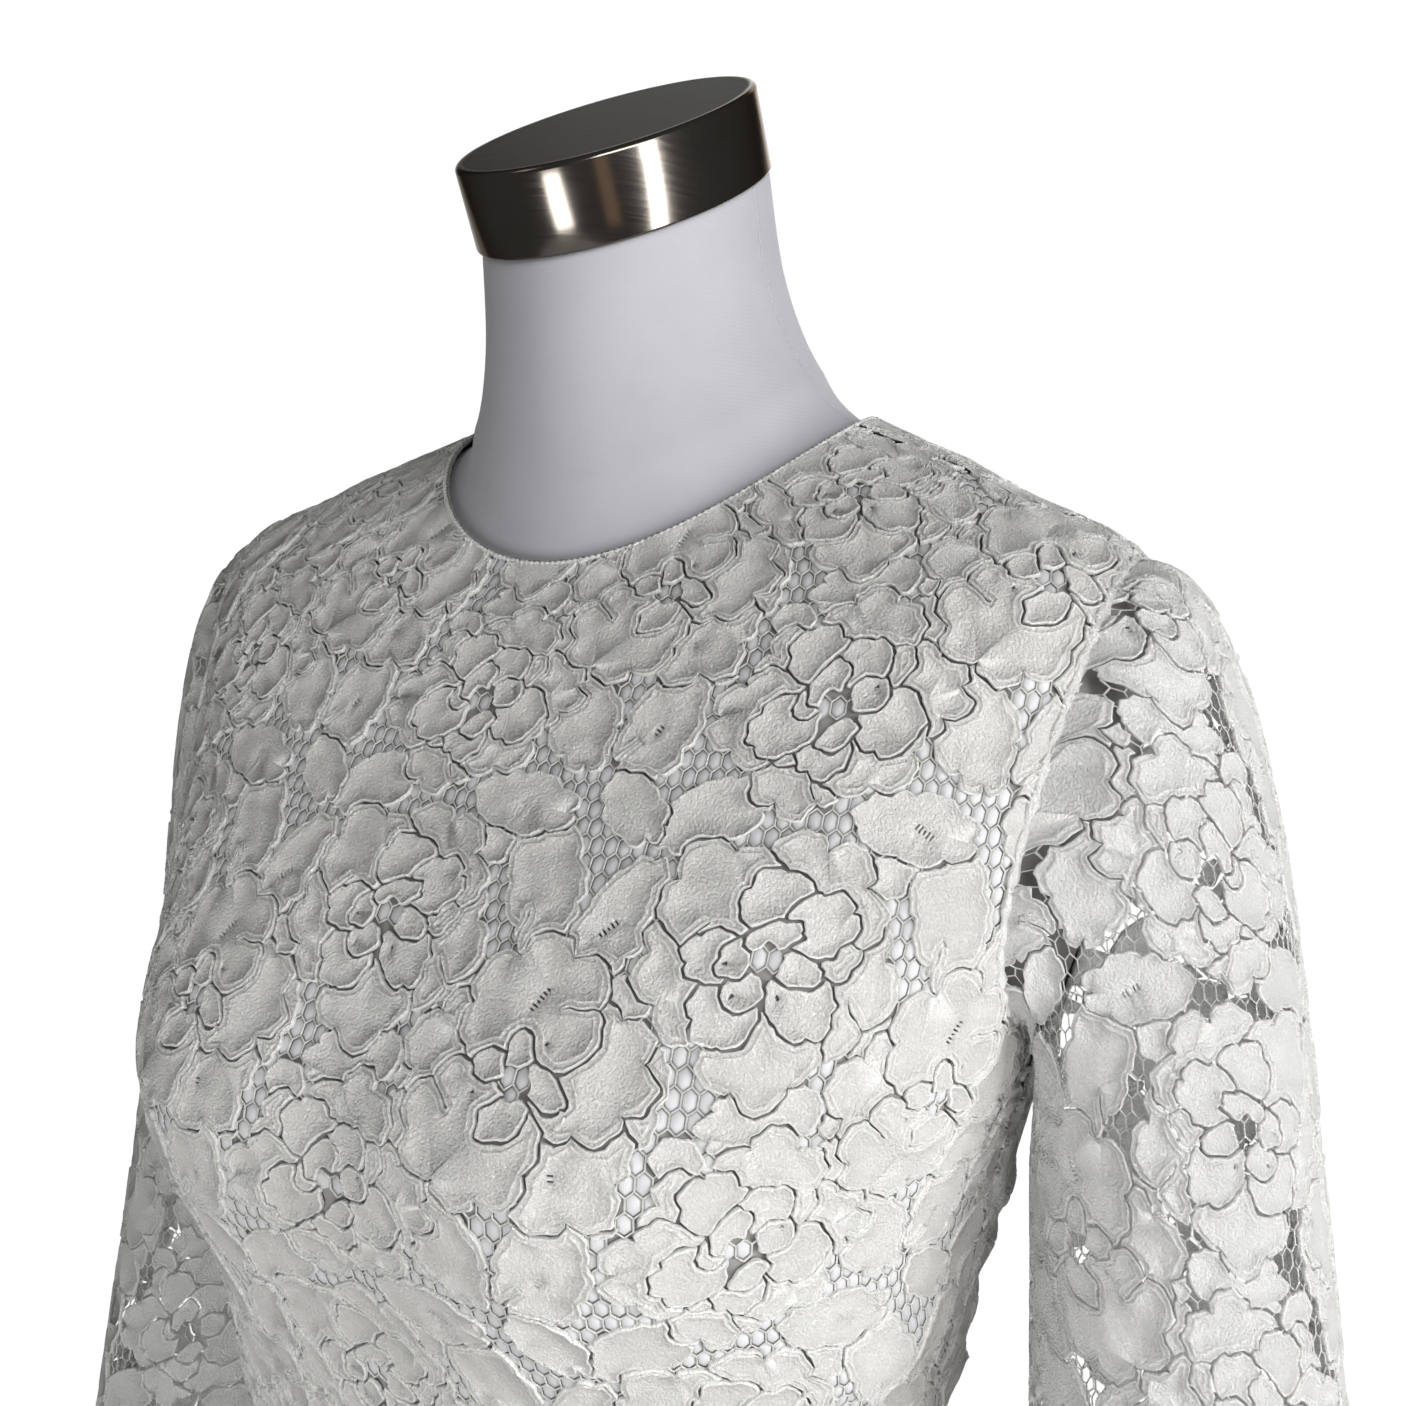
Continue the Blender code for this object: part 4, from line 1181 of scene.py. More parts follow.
PETAL_WAVER = ((0.04, 2.0, 3.0), (0.016, 11.0, 5.0), (0.010, 19.0, -4.0))


@dataclass(frozen=True)
class DetailLevel:
    """How finely a motif is drawn, in millimetres."""

    tolerance: float
    longest: float
    grid: float
    depths: tuple[float, ...]
    second_depths: tuple[float, ...]


class Detail(Enum):
    """Fineness by how near the camera comes."""

    CLOSE = DetailLevel(0.13, 3.4, 7.0, (0.40, 0.84), (1.72, 2.10, 2.50))
    MIDDLE = DetailLevel(0.22, 4.5, 8.0, (0.40, 0.95), ())
    FAR = DetailLevel(0.60, 9.0, 14.0, (0.55, 1.30), ())


@dataclass(frozen=True)
class Petal:
    """One petal, leaf or bud of the lace."""

    across: float
    down: float
    half_length: float
    half_width: float
    angle: float
    lobes: int
    notch: float
    phase: float
    rank: float
    double: bool = False
    clefts: tuple[float, ...] = ()
    ladder: int = 0

    def reach(self) -> float:
        """Larger half size."""
        return max(self.half_length, self.half_width)

    def _local(self, flat: Array) -> Arrays:
        """Lengthwise and crosswise place, over the petal's half sizes.

        Args:
            flat: flat places.

        Returns:
            Both places, 1 at the petal's tips.
        """
        x, y = flat[..., 0] - self.across, flat[..., 1] - self.down
        along = (x * cos(self.angle) + y * sin(self.angle)) / self.half_length
        aside = (y * cos(self.angle) - x * sin(self.angle)) / self.half_width
        return along, aside

    def edge(self, bearing: Array) -> Array:
        """Outline radius at a bearing, as part.py has it.

        Args:
            bearing: radians from the petal's tip.

        Returns:
            Share of the half sizes.
        """
        if not self.lobes:
            return np.ones(np.shape(bearing))
        bump = np.abs(np.cos(self.lobes * bearing / 2.0 + self.phase)) ** 0.55
        outer = 0.3 + 0.7 * (0.5 + 0.5 * np.cos(bearing))
        waver = sum(size * np.sin(count * bearing + shift * self.phase) for size, count, shift in PETAL_WAVER)
        return 1.0 + waver - 2.0 * self.notch * (1.0 - bump) * outer

    def depth(self, flat: Array) -> Array:
        """Millimetres inside the outline; negative outside.

        Args:
            flat: flat places.

        Returns:
            Depth of each place.
        """
        along, aside = self._local(flat)
        radius = np.maximum(np.hypot(along, aside), 1e-6)
        slope = np.hypot(along / self.half_length, aside / self.half_width) / radius
        slope = np.maximum(slope, 1.0 / self.reach())
        return (self.edge(np.arctan2(aside, along)) - radius) / slope

    def spot(self, bearing: float, share: float) -> Array:
        """Flat place at a bearing and a share of the outline's radius.

        Args:
            bearing: radians from the petal's tip.
            share: share of the way to the outline.

        Returns:
            One flat place.
        """
        radius = float(self.edge(np.array(bearing))) * share
        along, aside = radius * cos(bearing) * self.half_length, radius * sin(bearing) * self.half_width
        return np.array([self.across + along * cos(self.angle) - aside * sin(self.angle),
                         self.down + along * sin(self.angle) + aside * cos(self.angle)])

    def moved(self, across: float, down: float) -> "Petal":
        """The same petal in another repeat."""
        return replace(self, across=self.across + across, down=self.down + down)


@dataclass(frozen=True)
class Flower:
    """A flower: place and radius in millimetres, turn in degrees."""

    across: float
    down: float
    radius: float
    petals: int
    turn: float
    squash: float


@dataclass(frozen=True)
class Leaf:
    """A leaf: place and size in millimetres, turn in degrees."""

    across: float
    down: float
    length: float
    width: float
    turn: float
    lobes: int


@dataclass
class Motif:
    """A flat template of one motif, with heights, ready to be laid in each repeat."""

    centre: Array
    reach: float
    patch: Patch


Templates = dict[Detail, list[Motif]]


@dataclass
class LaceDesign:
    """One repeat of a generic floral corded lace, in millimetres."""

    repeat_across: float = 118.0
    repeat_down: float = 156.0
    flowers: tuple[Flower, ...] = (
        Flower(28.0, 34.0, 35.0, 5, 12.0, 0.94),
        Flower(88.0, 74.0, 36.0, 5, 52.0, 0.92),
        Flower(32.0, 116.0, 32.0, 6, -14.0, 1.00),
    )
    leaves: tuple[Leaf, ...] = (
        Leaf(78.0, 18.0, 45.0, 23.0, 66.0, 6),
        Leaf(103.0, 28.0, 39.0, 20.0, 112.0, 6),
        Leaf(60.0, 50.0, 27.0, 16.0, 35.0, 4),
        Leaf(-2.0, 74.0, 37.0, 20.0, 96.0, 6),
        Leaf(34.0, 76.0, 31.0, 18.0, 165.0, 4),
        Leaf(72.0, 121.0, 41.0, 22.0, 62.0, 6),
        Leaf(99.0, 124.0, 39.0, 23.0, 100.0, 6),
        Leaf(62.0, 150.0, 35.0, 18.5, 10.0, 4),
        Leaf(4.0, 150.0, 37.0, 17.5, -24.0, 4),
        Leaf(98.0, 150.0, 25.0, 15.0, 40.0, 4),
        Leaf(52.0, 92.0, 21.0, 12.0, -60.0, 4),
    )
    buds: tuple[tuple[float, float, float], ...] = (
        (56.0, 76.0, 6.0), (66.0, 100.0, 5.5), (112.0, 48.0, 6.0),
        (56.0, 8.0, 6.0), (14.0, 88.0, 5.5), (112.0, 104.0, 5.5),
    )
    gap: float = 0.86
    grow: float = 1.45
    wobble: float = 0.34
    ripple: float = 0.11
    hub_radius: float = 4.6
    cell_columns: int = 27
    cell_rows: int = 28
    shoulder: float = 1.85
    thread_radius: float = 0.30
    net_height: float = -0.6
    bottom: float = -0.9
    cell_cover: float = 1.0
    thread_cover: float = 1.6
    slit_half: float = 0.25
    trace_step: float = 0.35
    smallest_area: float = 9.0
    petals: list[Petal] = field(default_factory=list)

    def __post_init__(self) -> None:
        """Work out the petals of one repeat and those of its neighbours."""
        for k, flower in enumerate(self.flowers):
            self.petals += self._flower_petals(k, flower)
        for k, leaf in enumerate(self.leaves):
            clefts = (0.9,) if k % 3 == 0 else ()
            self.petals.append(Petal(leaf.across, leaf.down, leaf.length / 2.0, leaf.width / 2.0,
                                     radians(leaf.turn), leaf.lobes + 3, 0.14, 0.7 * k, 0.5 + 0.01 * k,
                                     leaf.width > 19.0, clefts, 5 if k in (1, 6, 7) else 0))
        for across, down, radius in self.buds:
            self.petals.append(Petal(across, down, radius, radius * 0.85, 0.3, 0, 0.0, 0.0, 0.2))
        self.around = [petal.moved(i * self.repeat_across, j * self.repeat_down)
                       for petal in self.petals for i in (-1, 0, 1) for j in (-1, 0, 1)]

    def _flower_petals(self, k: int, flower: Flower) -> list[Petal]:
        """Outer petals of one flower, as part.py has them, and its small inner ones.

        Args:
            k: number of the flower.
            flower: its place and size.

        Returns:
            Its petals.
        """
        made = []
        share = {5: 0.528, 6: 0.448}[flower.petals]
        for i in range(flower.petals):
            angle = radians(flower.turn) + 2.0 * pi * i / flower.petals
            swell, widen = 1.0 + 0.10 * sin(2.3 * i + k), 1.0 + 0.10 * cos(3.1 * i + 2.0 * k)
            reach = flower.radius * 0.56 * swell
            lobes = 5 + (i + k) % 3
            phase = 0.9 * i + k
            made.append(Petal(
                flower.across + reach * cos(angle), flower.down + reach * sin(angle) * flower.squash,
                flower.radius * 0.52 * swell, flower.radius * share * widen,
                angle + 0.25 * sin(2.0 * i + k), lobes, 0.165, phase, 1.0 + (i % 2) * 0.5 + 0.01 * i,
                True, self._cleft_bearings(lobes, phase, i + k), 6 if (i + k) % 3 == 1 else 0))
        for i in range(5 if k != 1 else 0):
            angle = radians(flower.turn) + 1.256 * i + 0.55 + 0.2 * sin(2.7 * i)
            reach = 15.5 + 1.8 * sin(2.1 * i + k)
            made.append(Petal(
                flower.across + reach * cos(angle), flower.down + reach * sin(angle),
                8.6 + 1.2 * cos(1.9 * i + k), 7.6 + 1.4 * sin(2.3 * i + k),
                angle + 0.5 * sin(1.6 * i + k), 5, 0.12, 1.1 * i + k, 3.0 + 0.1 * i))
        for i in range(4):
            angle = radians(flower.turn) + 1.57 * i + 0.8 * k + 0.3 * sin(2.0 * i)
            reach = 8.4 + 1.6 * sin(1.7 * i + k)
            made.append(Petal(
                flower.across + reach * cos(angle), flower.down + reach * sin(angle),
                5.2 + 1.2 * cos(2.1 * i + k), 2.9 + 0.8 * sin(1.3 * i + 2.0 * k),
                angle + 1.1 * sin(2.6 * i + k), 4, 0.12, 1.3 * i + k, 5.0 + 0.1 * i))
        return made

    @staticmethod
    def _cleft_bearings(lobes: int, phase: float, seed: int) -> tuple[float, ...]:
        """Bearings of the notches that run on into the petal as a slit.

        Args:
            lobes: lobes of the petal's edge.
            phase: turn of the lobes.
            seed: number that picks every other notch.

        Returns:
            Two bearings at most.
        """
        bearings = []
        for turn in range(-lobes, lobes + 1):
            bearing = (pi + 2.0 * pi * turn - 2.0 * phase) / lobes
            if abs(bearing) < 1.75 and (turn + seed) % 2 == 0:
                bearings.append(bearing)
        return tuple(bearings[:2])

    def _hubs(self) -> list[Array]:
        """Middles of the flowers of this repeat and its neighbours."""
        return [np.array([f.across + i * self.repeat_across, f.down + j * self.repeat_down])
                for f in self.flowers for i in (-1, 0, 1) for j in (-1, 0, 1)]

    def _eyelets(self) -> list[Array]:
        """Small uneven holes round the heart of each flower of the repeat.

        Returns:
            Corners of each hole.
        """
        made = []
        for k, flower in enumerate(self.flowers):
            for i in range(11):
                turn = 2.0 * pi * i / 11.0 + 0.2 * sin(3.0 * i + k)
                reach = 12.2 + 1.5 * sin(2.3 * i + k)
                middle = np.array([flower.across + reach * cos(turn), flower.down + reach * sin(turn)])
                corner = np.radians(np.arange(0.0, 360.0, 60.0))
                size = 0.75 + 0.25 * np.sin(3.0 * corner + 1.7 * i)
                ring = np.column_stack([np.cos(corner) * size * 1.3, np.sin(corner) * size * 0.8])
                turned = np.array([[cos(turn), sin(turn)], [-sin(turn), cos(turn)]])
                made.append(middle + ring @ turned)
        return made

    def region(self, petal: Petal) -> Callable[[Array], Array]:
        """Depth inside the visible part of a petal.

        Args:
            petal: a petal of the repeat.

        Returns:
            Function of flat points: own depth, cut by what lies over it.
        """
        over = [other for other in self.around
                if other.rank > petal.rank and self._near(petal, other)]
        hubs = [hub for hub in self._hubs() if hypot(hub[0] - petal.across, hub[1] - petal.down) < 40.0]
        slits = [(petal.spot(bearing, 1.1), petal.spot(bearing, 0.52)) for bearing in petal.clefts]

        def inside(flat: Array) -> Array:
            """Depth inside the visible part.

            Args:
                flat: flat places.

            Returns:
                Depth of each place.
            """
            flat = self._uneven(flat)
            value = petal.depth(flat) + self.grow
            for other in over:
                value = np.minimum(value, -other.depth(flat) - self.grow - self.gap)
            for hub in hubs:
                away = flat - hub
                wave = 0.5 * np.sin(5.0 * np.arctan2(away[..., 1], away[..., 0]) + hub[0])
                value = np.minimum(value, np.linalg.norm(away, axis=-1) - self.hub_radius - wave)
            for start, end in slits:
                value = np.minimum(value, self._to_segment(flat, start, end) - self.slit_half)
            return value

        return inside

    @staticmethod
    def _near(first: Petal, second: Petal) -> bool:
        """Whether two petals can touch."""
        away = hypot(first.across - second.across, first.down - second.down)
        return away < first.reach() + second.reach() + 8.0

    @staticmethod
    def _to_segment(flat: Array, start: Array, end: Array) -> Array:
        """Distance to a straight segment.

        Args:
            flat: flat places.
            start: one end.
            end: the other end.

        Returns:
            Distance of each place.
        """
        line = end - start
        share = np.clip(((flat - start) @ line) / (line @ line), 0.0, 1.0)
        return np.linalg.norm(flat - start - share[..., None] * line, axis=-1)

    def _uneven(self, flat: Array) -> Array:
        """Small wobble that every edge shares; it repeats with the lace.

        Args:
            flat: flat places.

        Returns:
            The places, moved a little.
        """
        u = flat[..., 0] * 2.0 * pi / self.repeat_across
        v = flat[..., 1] * 2.0 * pi / self.repeat_down
        wobble = [np.sin(23.0 * v + 2.0 * np.sin(5.0 * u)), np.sin(17.0 * u + 2.0 * np.sin(7.0 * v))]
        ripple = [np.sin(47.0 * v + 11.0 * u), np.sin(37.0 * u - 13.0 * v)]
        return flat + (self.wobble * np.stack(wobble, -1) + self.ripple * np.stack(ripple, -1))

    def cover(self, flat: Array) -> Array:
        """Depth inside the nearest petal of the whole lace; negative in the net.

        Args:
            flat: flat places.

        Returns:
            Depth of each place in millimetres.
        """
        flat = self._uneven(flat)
        value = np.full(flat.shape[:-1], -1e3)
        for petal in self.around:
            away = np.hypot(flat[..., 0] - petal.across, flat[..., 1] - petal.down)
            close = away < petal.reach() + 12.0
            if close.any():
                value[close] = np.maximum(value[close], petal.depth(flat[close]) + self.grow)
        for hub in self._hubs():
            away = np.linalg.norm(flat - hub, axis=-1)
            value = np.where(away < self.hub_radius, np.minimum(value, away - self.hub_radius), value)
        return value

    def _lattice(self) -> Array:
        """Middles of the net's cells in one repeat.

        Returns:
            A flat place for each cell.
        """
        rows, columns = self.cell_rows, self.cell_columns
        row, column = np.meshgrid(np.arange(rows), np.arange(columns), indexing="ij")
        across = (column + 0.5 * (row % 2)) * self.repeat_across / columns
        return np.stack([across, row * self.repeat_down / rows], -1).reshape(-1, 2)

    def cell_corners(self) -> Array:
        """Corners of a cell about its middle.

        Returns:
            Six corners in order.
        """
        half = self.repeat_across / self.cell_columns / 2.0
        tip, shoulder = self.repeat_down / self.cell_rows - self.shoulder, self.shoulder
        return np.array([(0.0, -tip), (half, -shoulder), (half, shoulder), (0.0, tip),
                         (-half, shoulder), (-half, -shoulder)])

    def cells(self) -> Array:
        """Middles of the cells that show."""
        middles = self._lattice()
        return middles[self.cover(middles) < self.cell_cover]

    def threads(self) -> Array:
        """Ends of the net's threads that show, in one repeat.

        Returns:
            Both ends of each thread.
        """
        corners = self.cell_corners()
        pairs = np.array([(corners[1], corners[2]), (corners[2], corners[3]), (corners[4], corners[3])])
        threads = (self._lattice()[:, None, None] + pairs[None]).reshape(-1, 2, 2)
        return threads[self.cover(threads.mean(axis=1)) < self.thread_cover]

    def motifs(self, detail: Detail) -> list[Motif]:
        """Templates of every petal of the repeat.

        Args:
            detail: fineness.

        Returns:
            One motif for each visible region.
        """
        made, eyelets = [], self._eyelets()
        for petal in self.petals:
            inside = self.region(petal)
            for loop in self._outlines(petal, inside):
                drawing = PetalDrawing(petal, loop, inside, detail.value, self.bottom, eyelets)
                made.append(drawing.motif())
        return made

    def _outlines(self, petal: Petal, inside: Callable[[Array], Array]) -> list[Array]:
        """Closed outlines of a petal's visible part.

        Args:
            petal: a petal of the repeat.
            inside: depth inside its visible part.

        Returns:
            Points of each outline.
        """
        reach = petal.reach() * 1.12 + 1.0 + self.grow
        count = int(2.0 * reach / self.trace_step) + 1
        xs = np.linspace(petal.across - reach, petal.across + reach, count)
        ys = np.linspace(petal.down - reach, petal.down + reach, count)
        flat = np.stack(np.meshgrid(xs, ys), -1)
        loops = trace_loops(inside(flat), xs, ys)
        return [loop for loop in loops if loop_area(loop) > self.smallest_area]


def loop_area(loop: Array) -> float:
    """Signed area of a closed outline."""
    following = np.roll(loop, -1, 0)
    return float((loop[:, 0] * following[:, 1] - loop[:, 1] * following[:, 0]).sum() / 2.0)


SEGMENTS = {
    1: ("SW",), 2: ("ES",), 4: ("NE",), 8: ("WN",), 3: ("EW",), 6: ("NS",), 12: ("WE",), 9: ("SN",),
    7: ("NW",), 14: ("WS",), 13: ("SE",), 11: ("EN",), 5: ("SW", "NE"), 10: ("ES", "WN"),
}


def trace_loops(values: Array, xs: Array, ys: Array) -> list[Array]:
    """Closed zero lines of a sampled field, with its positive side on their left.

    Args:
        values: field on the grid, a row for each y.
        xs: grid columns.
        ys: grid rows.

    Returns:
        One array of points for each closed line.
    """
    inside = values > 0.0
    code = (inside[:-1, :-1] * 1 + inside[:-1, 1:] * 2 + inside[1:, 1:] * 4 + inside[1:, :-1] * 8)
    following: dict[tuple, tuple] = {}
    for row, column in zip(*np.nonzero((code > 0) & (code < 15))):
        keys = {"S": ("h", row, column), "N": ("h", row + 1, column),
                "W": ("v", row, column), "E": ("v", row, column + 1)}
        for start, end in SEGMENTS[int(code[row, column])]:
            following[keys[start]] = keys[end]

    def crossing(key: tuple) -> Pair:
        """Place of the zero line on a grid edge.

        Args:
            key: direction, row and column of the edge.

        Returns:
            Both coordinates.
        """
        kind, row, column = key
        other = (row, column + 1) if kind == "h" else (row + 1, column)
        first, second = values[row, column], values[other]
        share = first / (first - second)
        if kind == "h":
            return xs[column] + (xs[column + 1] - xs[column]) * share, ys[row]
        return xs[column], ys[row] + (ys[row + 1] - ys[row]) * share

    loops = []
    while following:
        start, key = following.popitem()
        chain = [start]
        while key != start and key in following:
            chain.append(key)
            key = following.pop(key)
        if key == start and len(chain) > 8:
            loops.append(np.array([crossing(step) for step in chain]))
    return loops


def simplified(loop: Array, tolerance: float, longest: float) -> Array:
    """Fewer points on a closed outline, within a tolerance.

    Args:
        loop: closed outline.
        tolerance: furthest that the new outline may pass from an old point.
        longest: longest new step.

    Returns:
        The kept points.
    """
    count = len(loop)
    doubled = np.concatenate([loop, loop[:1]])
    kept, start = [0], 0
    while start < count - 1:
        best = start + 1
        for end in range(start + 2, count + 1):
            chord = doubled[end] - doubled[start]
            length = hypot(*chord)
            if length > longest:
                break
            away = doubled[start + 1:end] - doubled[start]
            aside = np.abs(away[:, 0] * chord[1] - away[:, 1] * chord[0]).max()
            if length < 1e-6 or aside / length > tolerance:
                break
            best = end
        if best >= count:
            break
        kept.append(best)
        start = best
    return loop[kept]


@dataclass
class PetalDrawing:
    """Draws one visible petal region as raised cloth with cords."""

    petal: Petal
    loop: Array
    inside: Callable[[Array], Array]
    level: DetailLevel
    bottom: float
    eyelets: list[Array]
    eyelet_depth: float = 1.1
    ladder_depth: float = 3.1
    ladder_step: float = 1.35
    ladder_lean: float = 0.35
    wall_tone: float = 0.3

    def _ring(self, points: Array, depth: float) -> Array:
        """Walk outline points inwards to a depth.

        Args:
            points: points to move.
            depth: millimetres inside the outline.

        Returns:
            The moved points.
        """
        points = points.copy()
        step, rounds = 0.08, 5
        for _ in range(rounds):
            value = self.inside(points)
            across = self.inside(points + (step, 0.0)) - self.inside(points - (step, 0.0))
            down = self.inside(points + (0.0, step)) - self.inside(points - (0.0, step))
            slope = np.stack([across, down], -1) / (2 * step)
            size = np.maximum(np.linalg.norm(slope, axis=-1, keepdims=True), 0.3)
            points += slope / size * np.clip((depth - value)[:, None] / size, -0.4, 0.4)
        return points

    def _slits(self) -> list[Array]:
        """Ladder of tiny slits across the petal's middle, and eyelets that fall on it.

        Returns:
            Corners of each hole.
        """
        if self.level.tolerance > 0.3:
            return []
        made = [eyelet for eyelet in self.eyelets if self.inside(eyelet).min() > self.eyelet_depth]
        lean = self.petal.angle + self.ladder_lean
        axes = np.array([(cos(lean), sin(lean)), (-sin(lean), cos(lean))])
        for i in range(self.petal.ladder):
            along = (i - (self.petal.ladder - 1) / 2.0) * self.ladder_step + self.petal.half_length * 0.12
            half, tall = 0.30, 0.95 + 0.25 * sin(2.4 * i)
            corners = np.array([(-half, -tall), (half, -tall), (half, tall), (-half, tall)])
            box = (self.petal.across, self.petal.down) + along * axes[0] + corners @ axes
            if self.inside(box).min() > self.ladder_depth:
                made.append(box)
        return made

    def motif(self) -> Motif:
        """Triangulate the region.

        Returns:
            The template, with a wall down from its edges.
        """
        outline = simplified(self.loop, self.level.tolerance, self.level.longest)
        holes = self._slits()
        rings, current = [], outline
        depths = self.level.depths + (self.level.second_depths if self.petal.double else ())
        for depth in depths:
            current = self._ring(current, depth)
            rings.append(current)
        flat, triangles = self._triangles([outline] + holes, rings, self._loose(depths[-1]))
        height, cord = self._relief(self.inside(flat), flat, holes)
        edge = outline_edges(triangles)
        rim = np.unique(edge)
        low = np.full(len(flat), -1)
        low[rim] = len(flat) + np.arange(len(rim))
        walls = np.concatenate([np.column_stack([edge[:, 1], edge[:, 0], low[edge[:, 0]]]),
                                np.column_stack([edge[:, 1], low[edge[:, 0]], low[edge[:, 1]]])])
        points = np.concatenate([np.column_stack([flat, height]),
                                 np.column_stack([flat[rim], np.full(len(rim), self.bottom)])])
        cords = np.concatenate([cord, np.full(len(rim), self.wall_tone)])
        centre = outline.mean(0)
        reach = float(np.linalg.norm(outline - centre, axis=1).max())
        patch = Patch(points, triangles, cords).compact(np.concatenate([triangles, walls]))
        return Motif(centre, reach, patch)

    def _loose(self, depth: float) -> Array:
        """Points inside the last ring, on a staggered grid.

        Args:
            depth: depth of the last ring.

        Returns:
            Flat points.
        """
        low, high = self.loop.min(0), self.loop.max(0)
        step = self.level.grid
        rows = [np.zeros((0, 2))]
        for k, y in enumerate(np.arange(low[1], high[1], step * 0.87)):
            row = np.arange(low[0] + (k % 2) * step / 2.0, high[0], step)
            rows.append(np.column_stack([row, np.full(len(row), y)]))
        points = np.concatenate(rows)
        return points[self.inside(points) > depth + 0.35 * step] if len(points) else points

    @staticmethod
    def _triangles(loops: list[Array], rings: list[Array], loose: Array) -> Arrays:
        """Constrained triangles inside the first loop and outside the others.

        Args:
            loops: outline of the region, then its holes.
            rings: closed lines that stay as edges.
            loose: single points.

        Returns:
            Points and triangles.
        """
        points, faces, edges = [], [], []
        for loop in loops:
            faces.append(list(range(len(points), len(points) + len(loop))))
            points.extend(map(tuple, loop))
        for ring in rings:
            start = len(points)
            edges.extend((start + i, start + (i + 1) % len(ring)) for i in range(len(ring)))
            points.extend(map(tuple, ring))
        points.extend(map(tuple, loose))
        made = delaunay_2d_cdt([Vector(p) for p in points], edges, faces, 1, 1e-3, True)
        kept = [list(face) for face, owner in zip(made[2], made[5]) if list(owner) == [0]]
        return np.array([(v.x, v.y) for v in made[0]]), np.array(kept)

    def _relief(self, depth: Array, flat: Array, holes: list[Array]) -> Arrays:
        """Height and cord share at each point.

        Args:
            depth: depth of each point inside the outline.
            flat: the points.
            holes: slits and eyelets.

        Returns:
            Heights in millimetres, and cord shares.
        """
        crest, foot = self.level.depths
        second = self.level.second_depths
        if self.petal.double and second:
            stops = (0.0, crest, foot, *second, second[-1] + 1.1)
            heights = (0.02, 0.78, -0.06, 0.00, 0.60, -0.04, 0.10)
            cords = (0.6, 1.0, 0.0, 0.0, 1.0, 0.0, 0.0)
        else:
            stops = (0.0, crest, foot, foot + 1.5)
            heights, cords = (0.02, 0.68, -0.04, 0.10), (0.6, 1.0, 0.0, 0.0)
        height = np.interp(depth, stops, heights)
        height = height + 0.28 * np.clip((depth - 2.0) / 5.0, 0.0, 1.0)
        cord = np.interp(depth, stops, cords)
        for hole in holes:
            near = np.linalg.norm(flat - hole.mean(0), axis=-1) < 1.6
            height = np.where(near, height - 0.15, height)
        return height, cord


def outline_edges(triangles: Array) -> Array:
    """Directed edges that only one triangle has.

    Args:
        triangles: corners of each triangle.

    Returns:
        Both ends of each edge.
    """
    edges = np.concatenate([triangles[:, [0, 1]], triangles[:, [1, 2]], triangles[:, [2, 0]]])
    size = int(edges.max()) + 1
    forward, backward = edges[:, 0] * size + edges[:, 1], edges[:, 1] * size + edges[:, 0]
    return edges[~np.isin(forward, backward)]


# Laying the lace


@dataclass(frozen=True)
class Viewpoint:
    """The photo's camera: degrees, metres and millimetres of lens."""

    azimuth: float = 31.08
    elevation: float = 3.34
    roll: float = 3.13
    distance: float = 0.540041
    lens: float = 39.37
    target: tuple[float, float, float] = (0.029091, 0.002105, 1.304991)
    lowest: float = 1.05
    turned_away: float = -0.2

    def back(self) -> Array:
        """Direction from the target to the camera."""
        azimuth, elevation = radians(self.azimuth), radians(self.elevation)
        return np.array([sin(azimuth) * cos(elevation), -cos(azimuth) * cos(elevation), sin(elevation)])

    def place(self) -> Array:
        """Place of the camera."""
        return np.array(self.target) + self.back() * self.distance

    def matrix(self) -> Matrix:
        """World matrix of the camera.

        Returns:
            The matrix, with the roll in it.
        """
        back = self.back()
        right = np.array([cos(radians(self.azimuth)), sin(radians(self.azimuth)), 0.0])
        up = np.cross(back, right)
        c, s = cos(radians(self.roll)), sin(radians(self.roll))
        axes = np.column_stack([c * right + s * up, -s * right + c * up, back])
        return Matrix.Translation(Vector(self.place())) @ Matrix(axes.tolist()).to_4x4()

    def details(self, points: Array, normals: Array) -> list[Detail]:
        """Fineness for motifs at some places.

        Args:
            points: middles of the motifs.
            normals: outward directions there.

        Returns:
            A detail for each.
        """
        towards = unit(self.place() - points)
        facing = (towards * normals).sum(axis=1)
        chosen = []
        for height, turned in zip(points[:, 2], facing):
            if height < self.lowest or turned < self.turned_away:
                chosen.append(Detail.FAR)
            else:
                chosen.append(Detail.CLOSE if turned > 0.0 else Detail.MIDDLE)
        return chosen


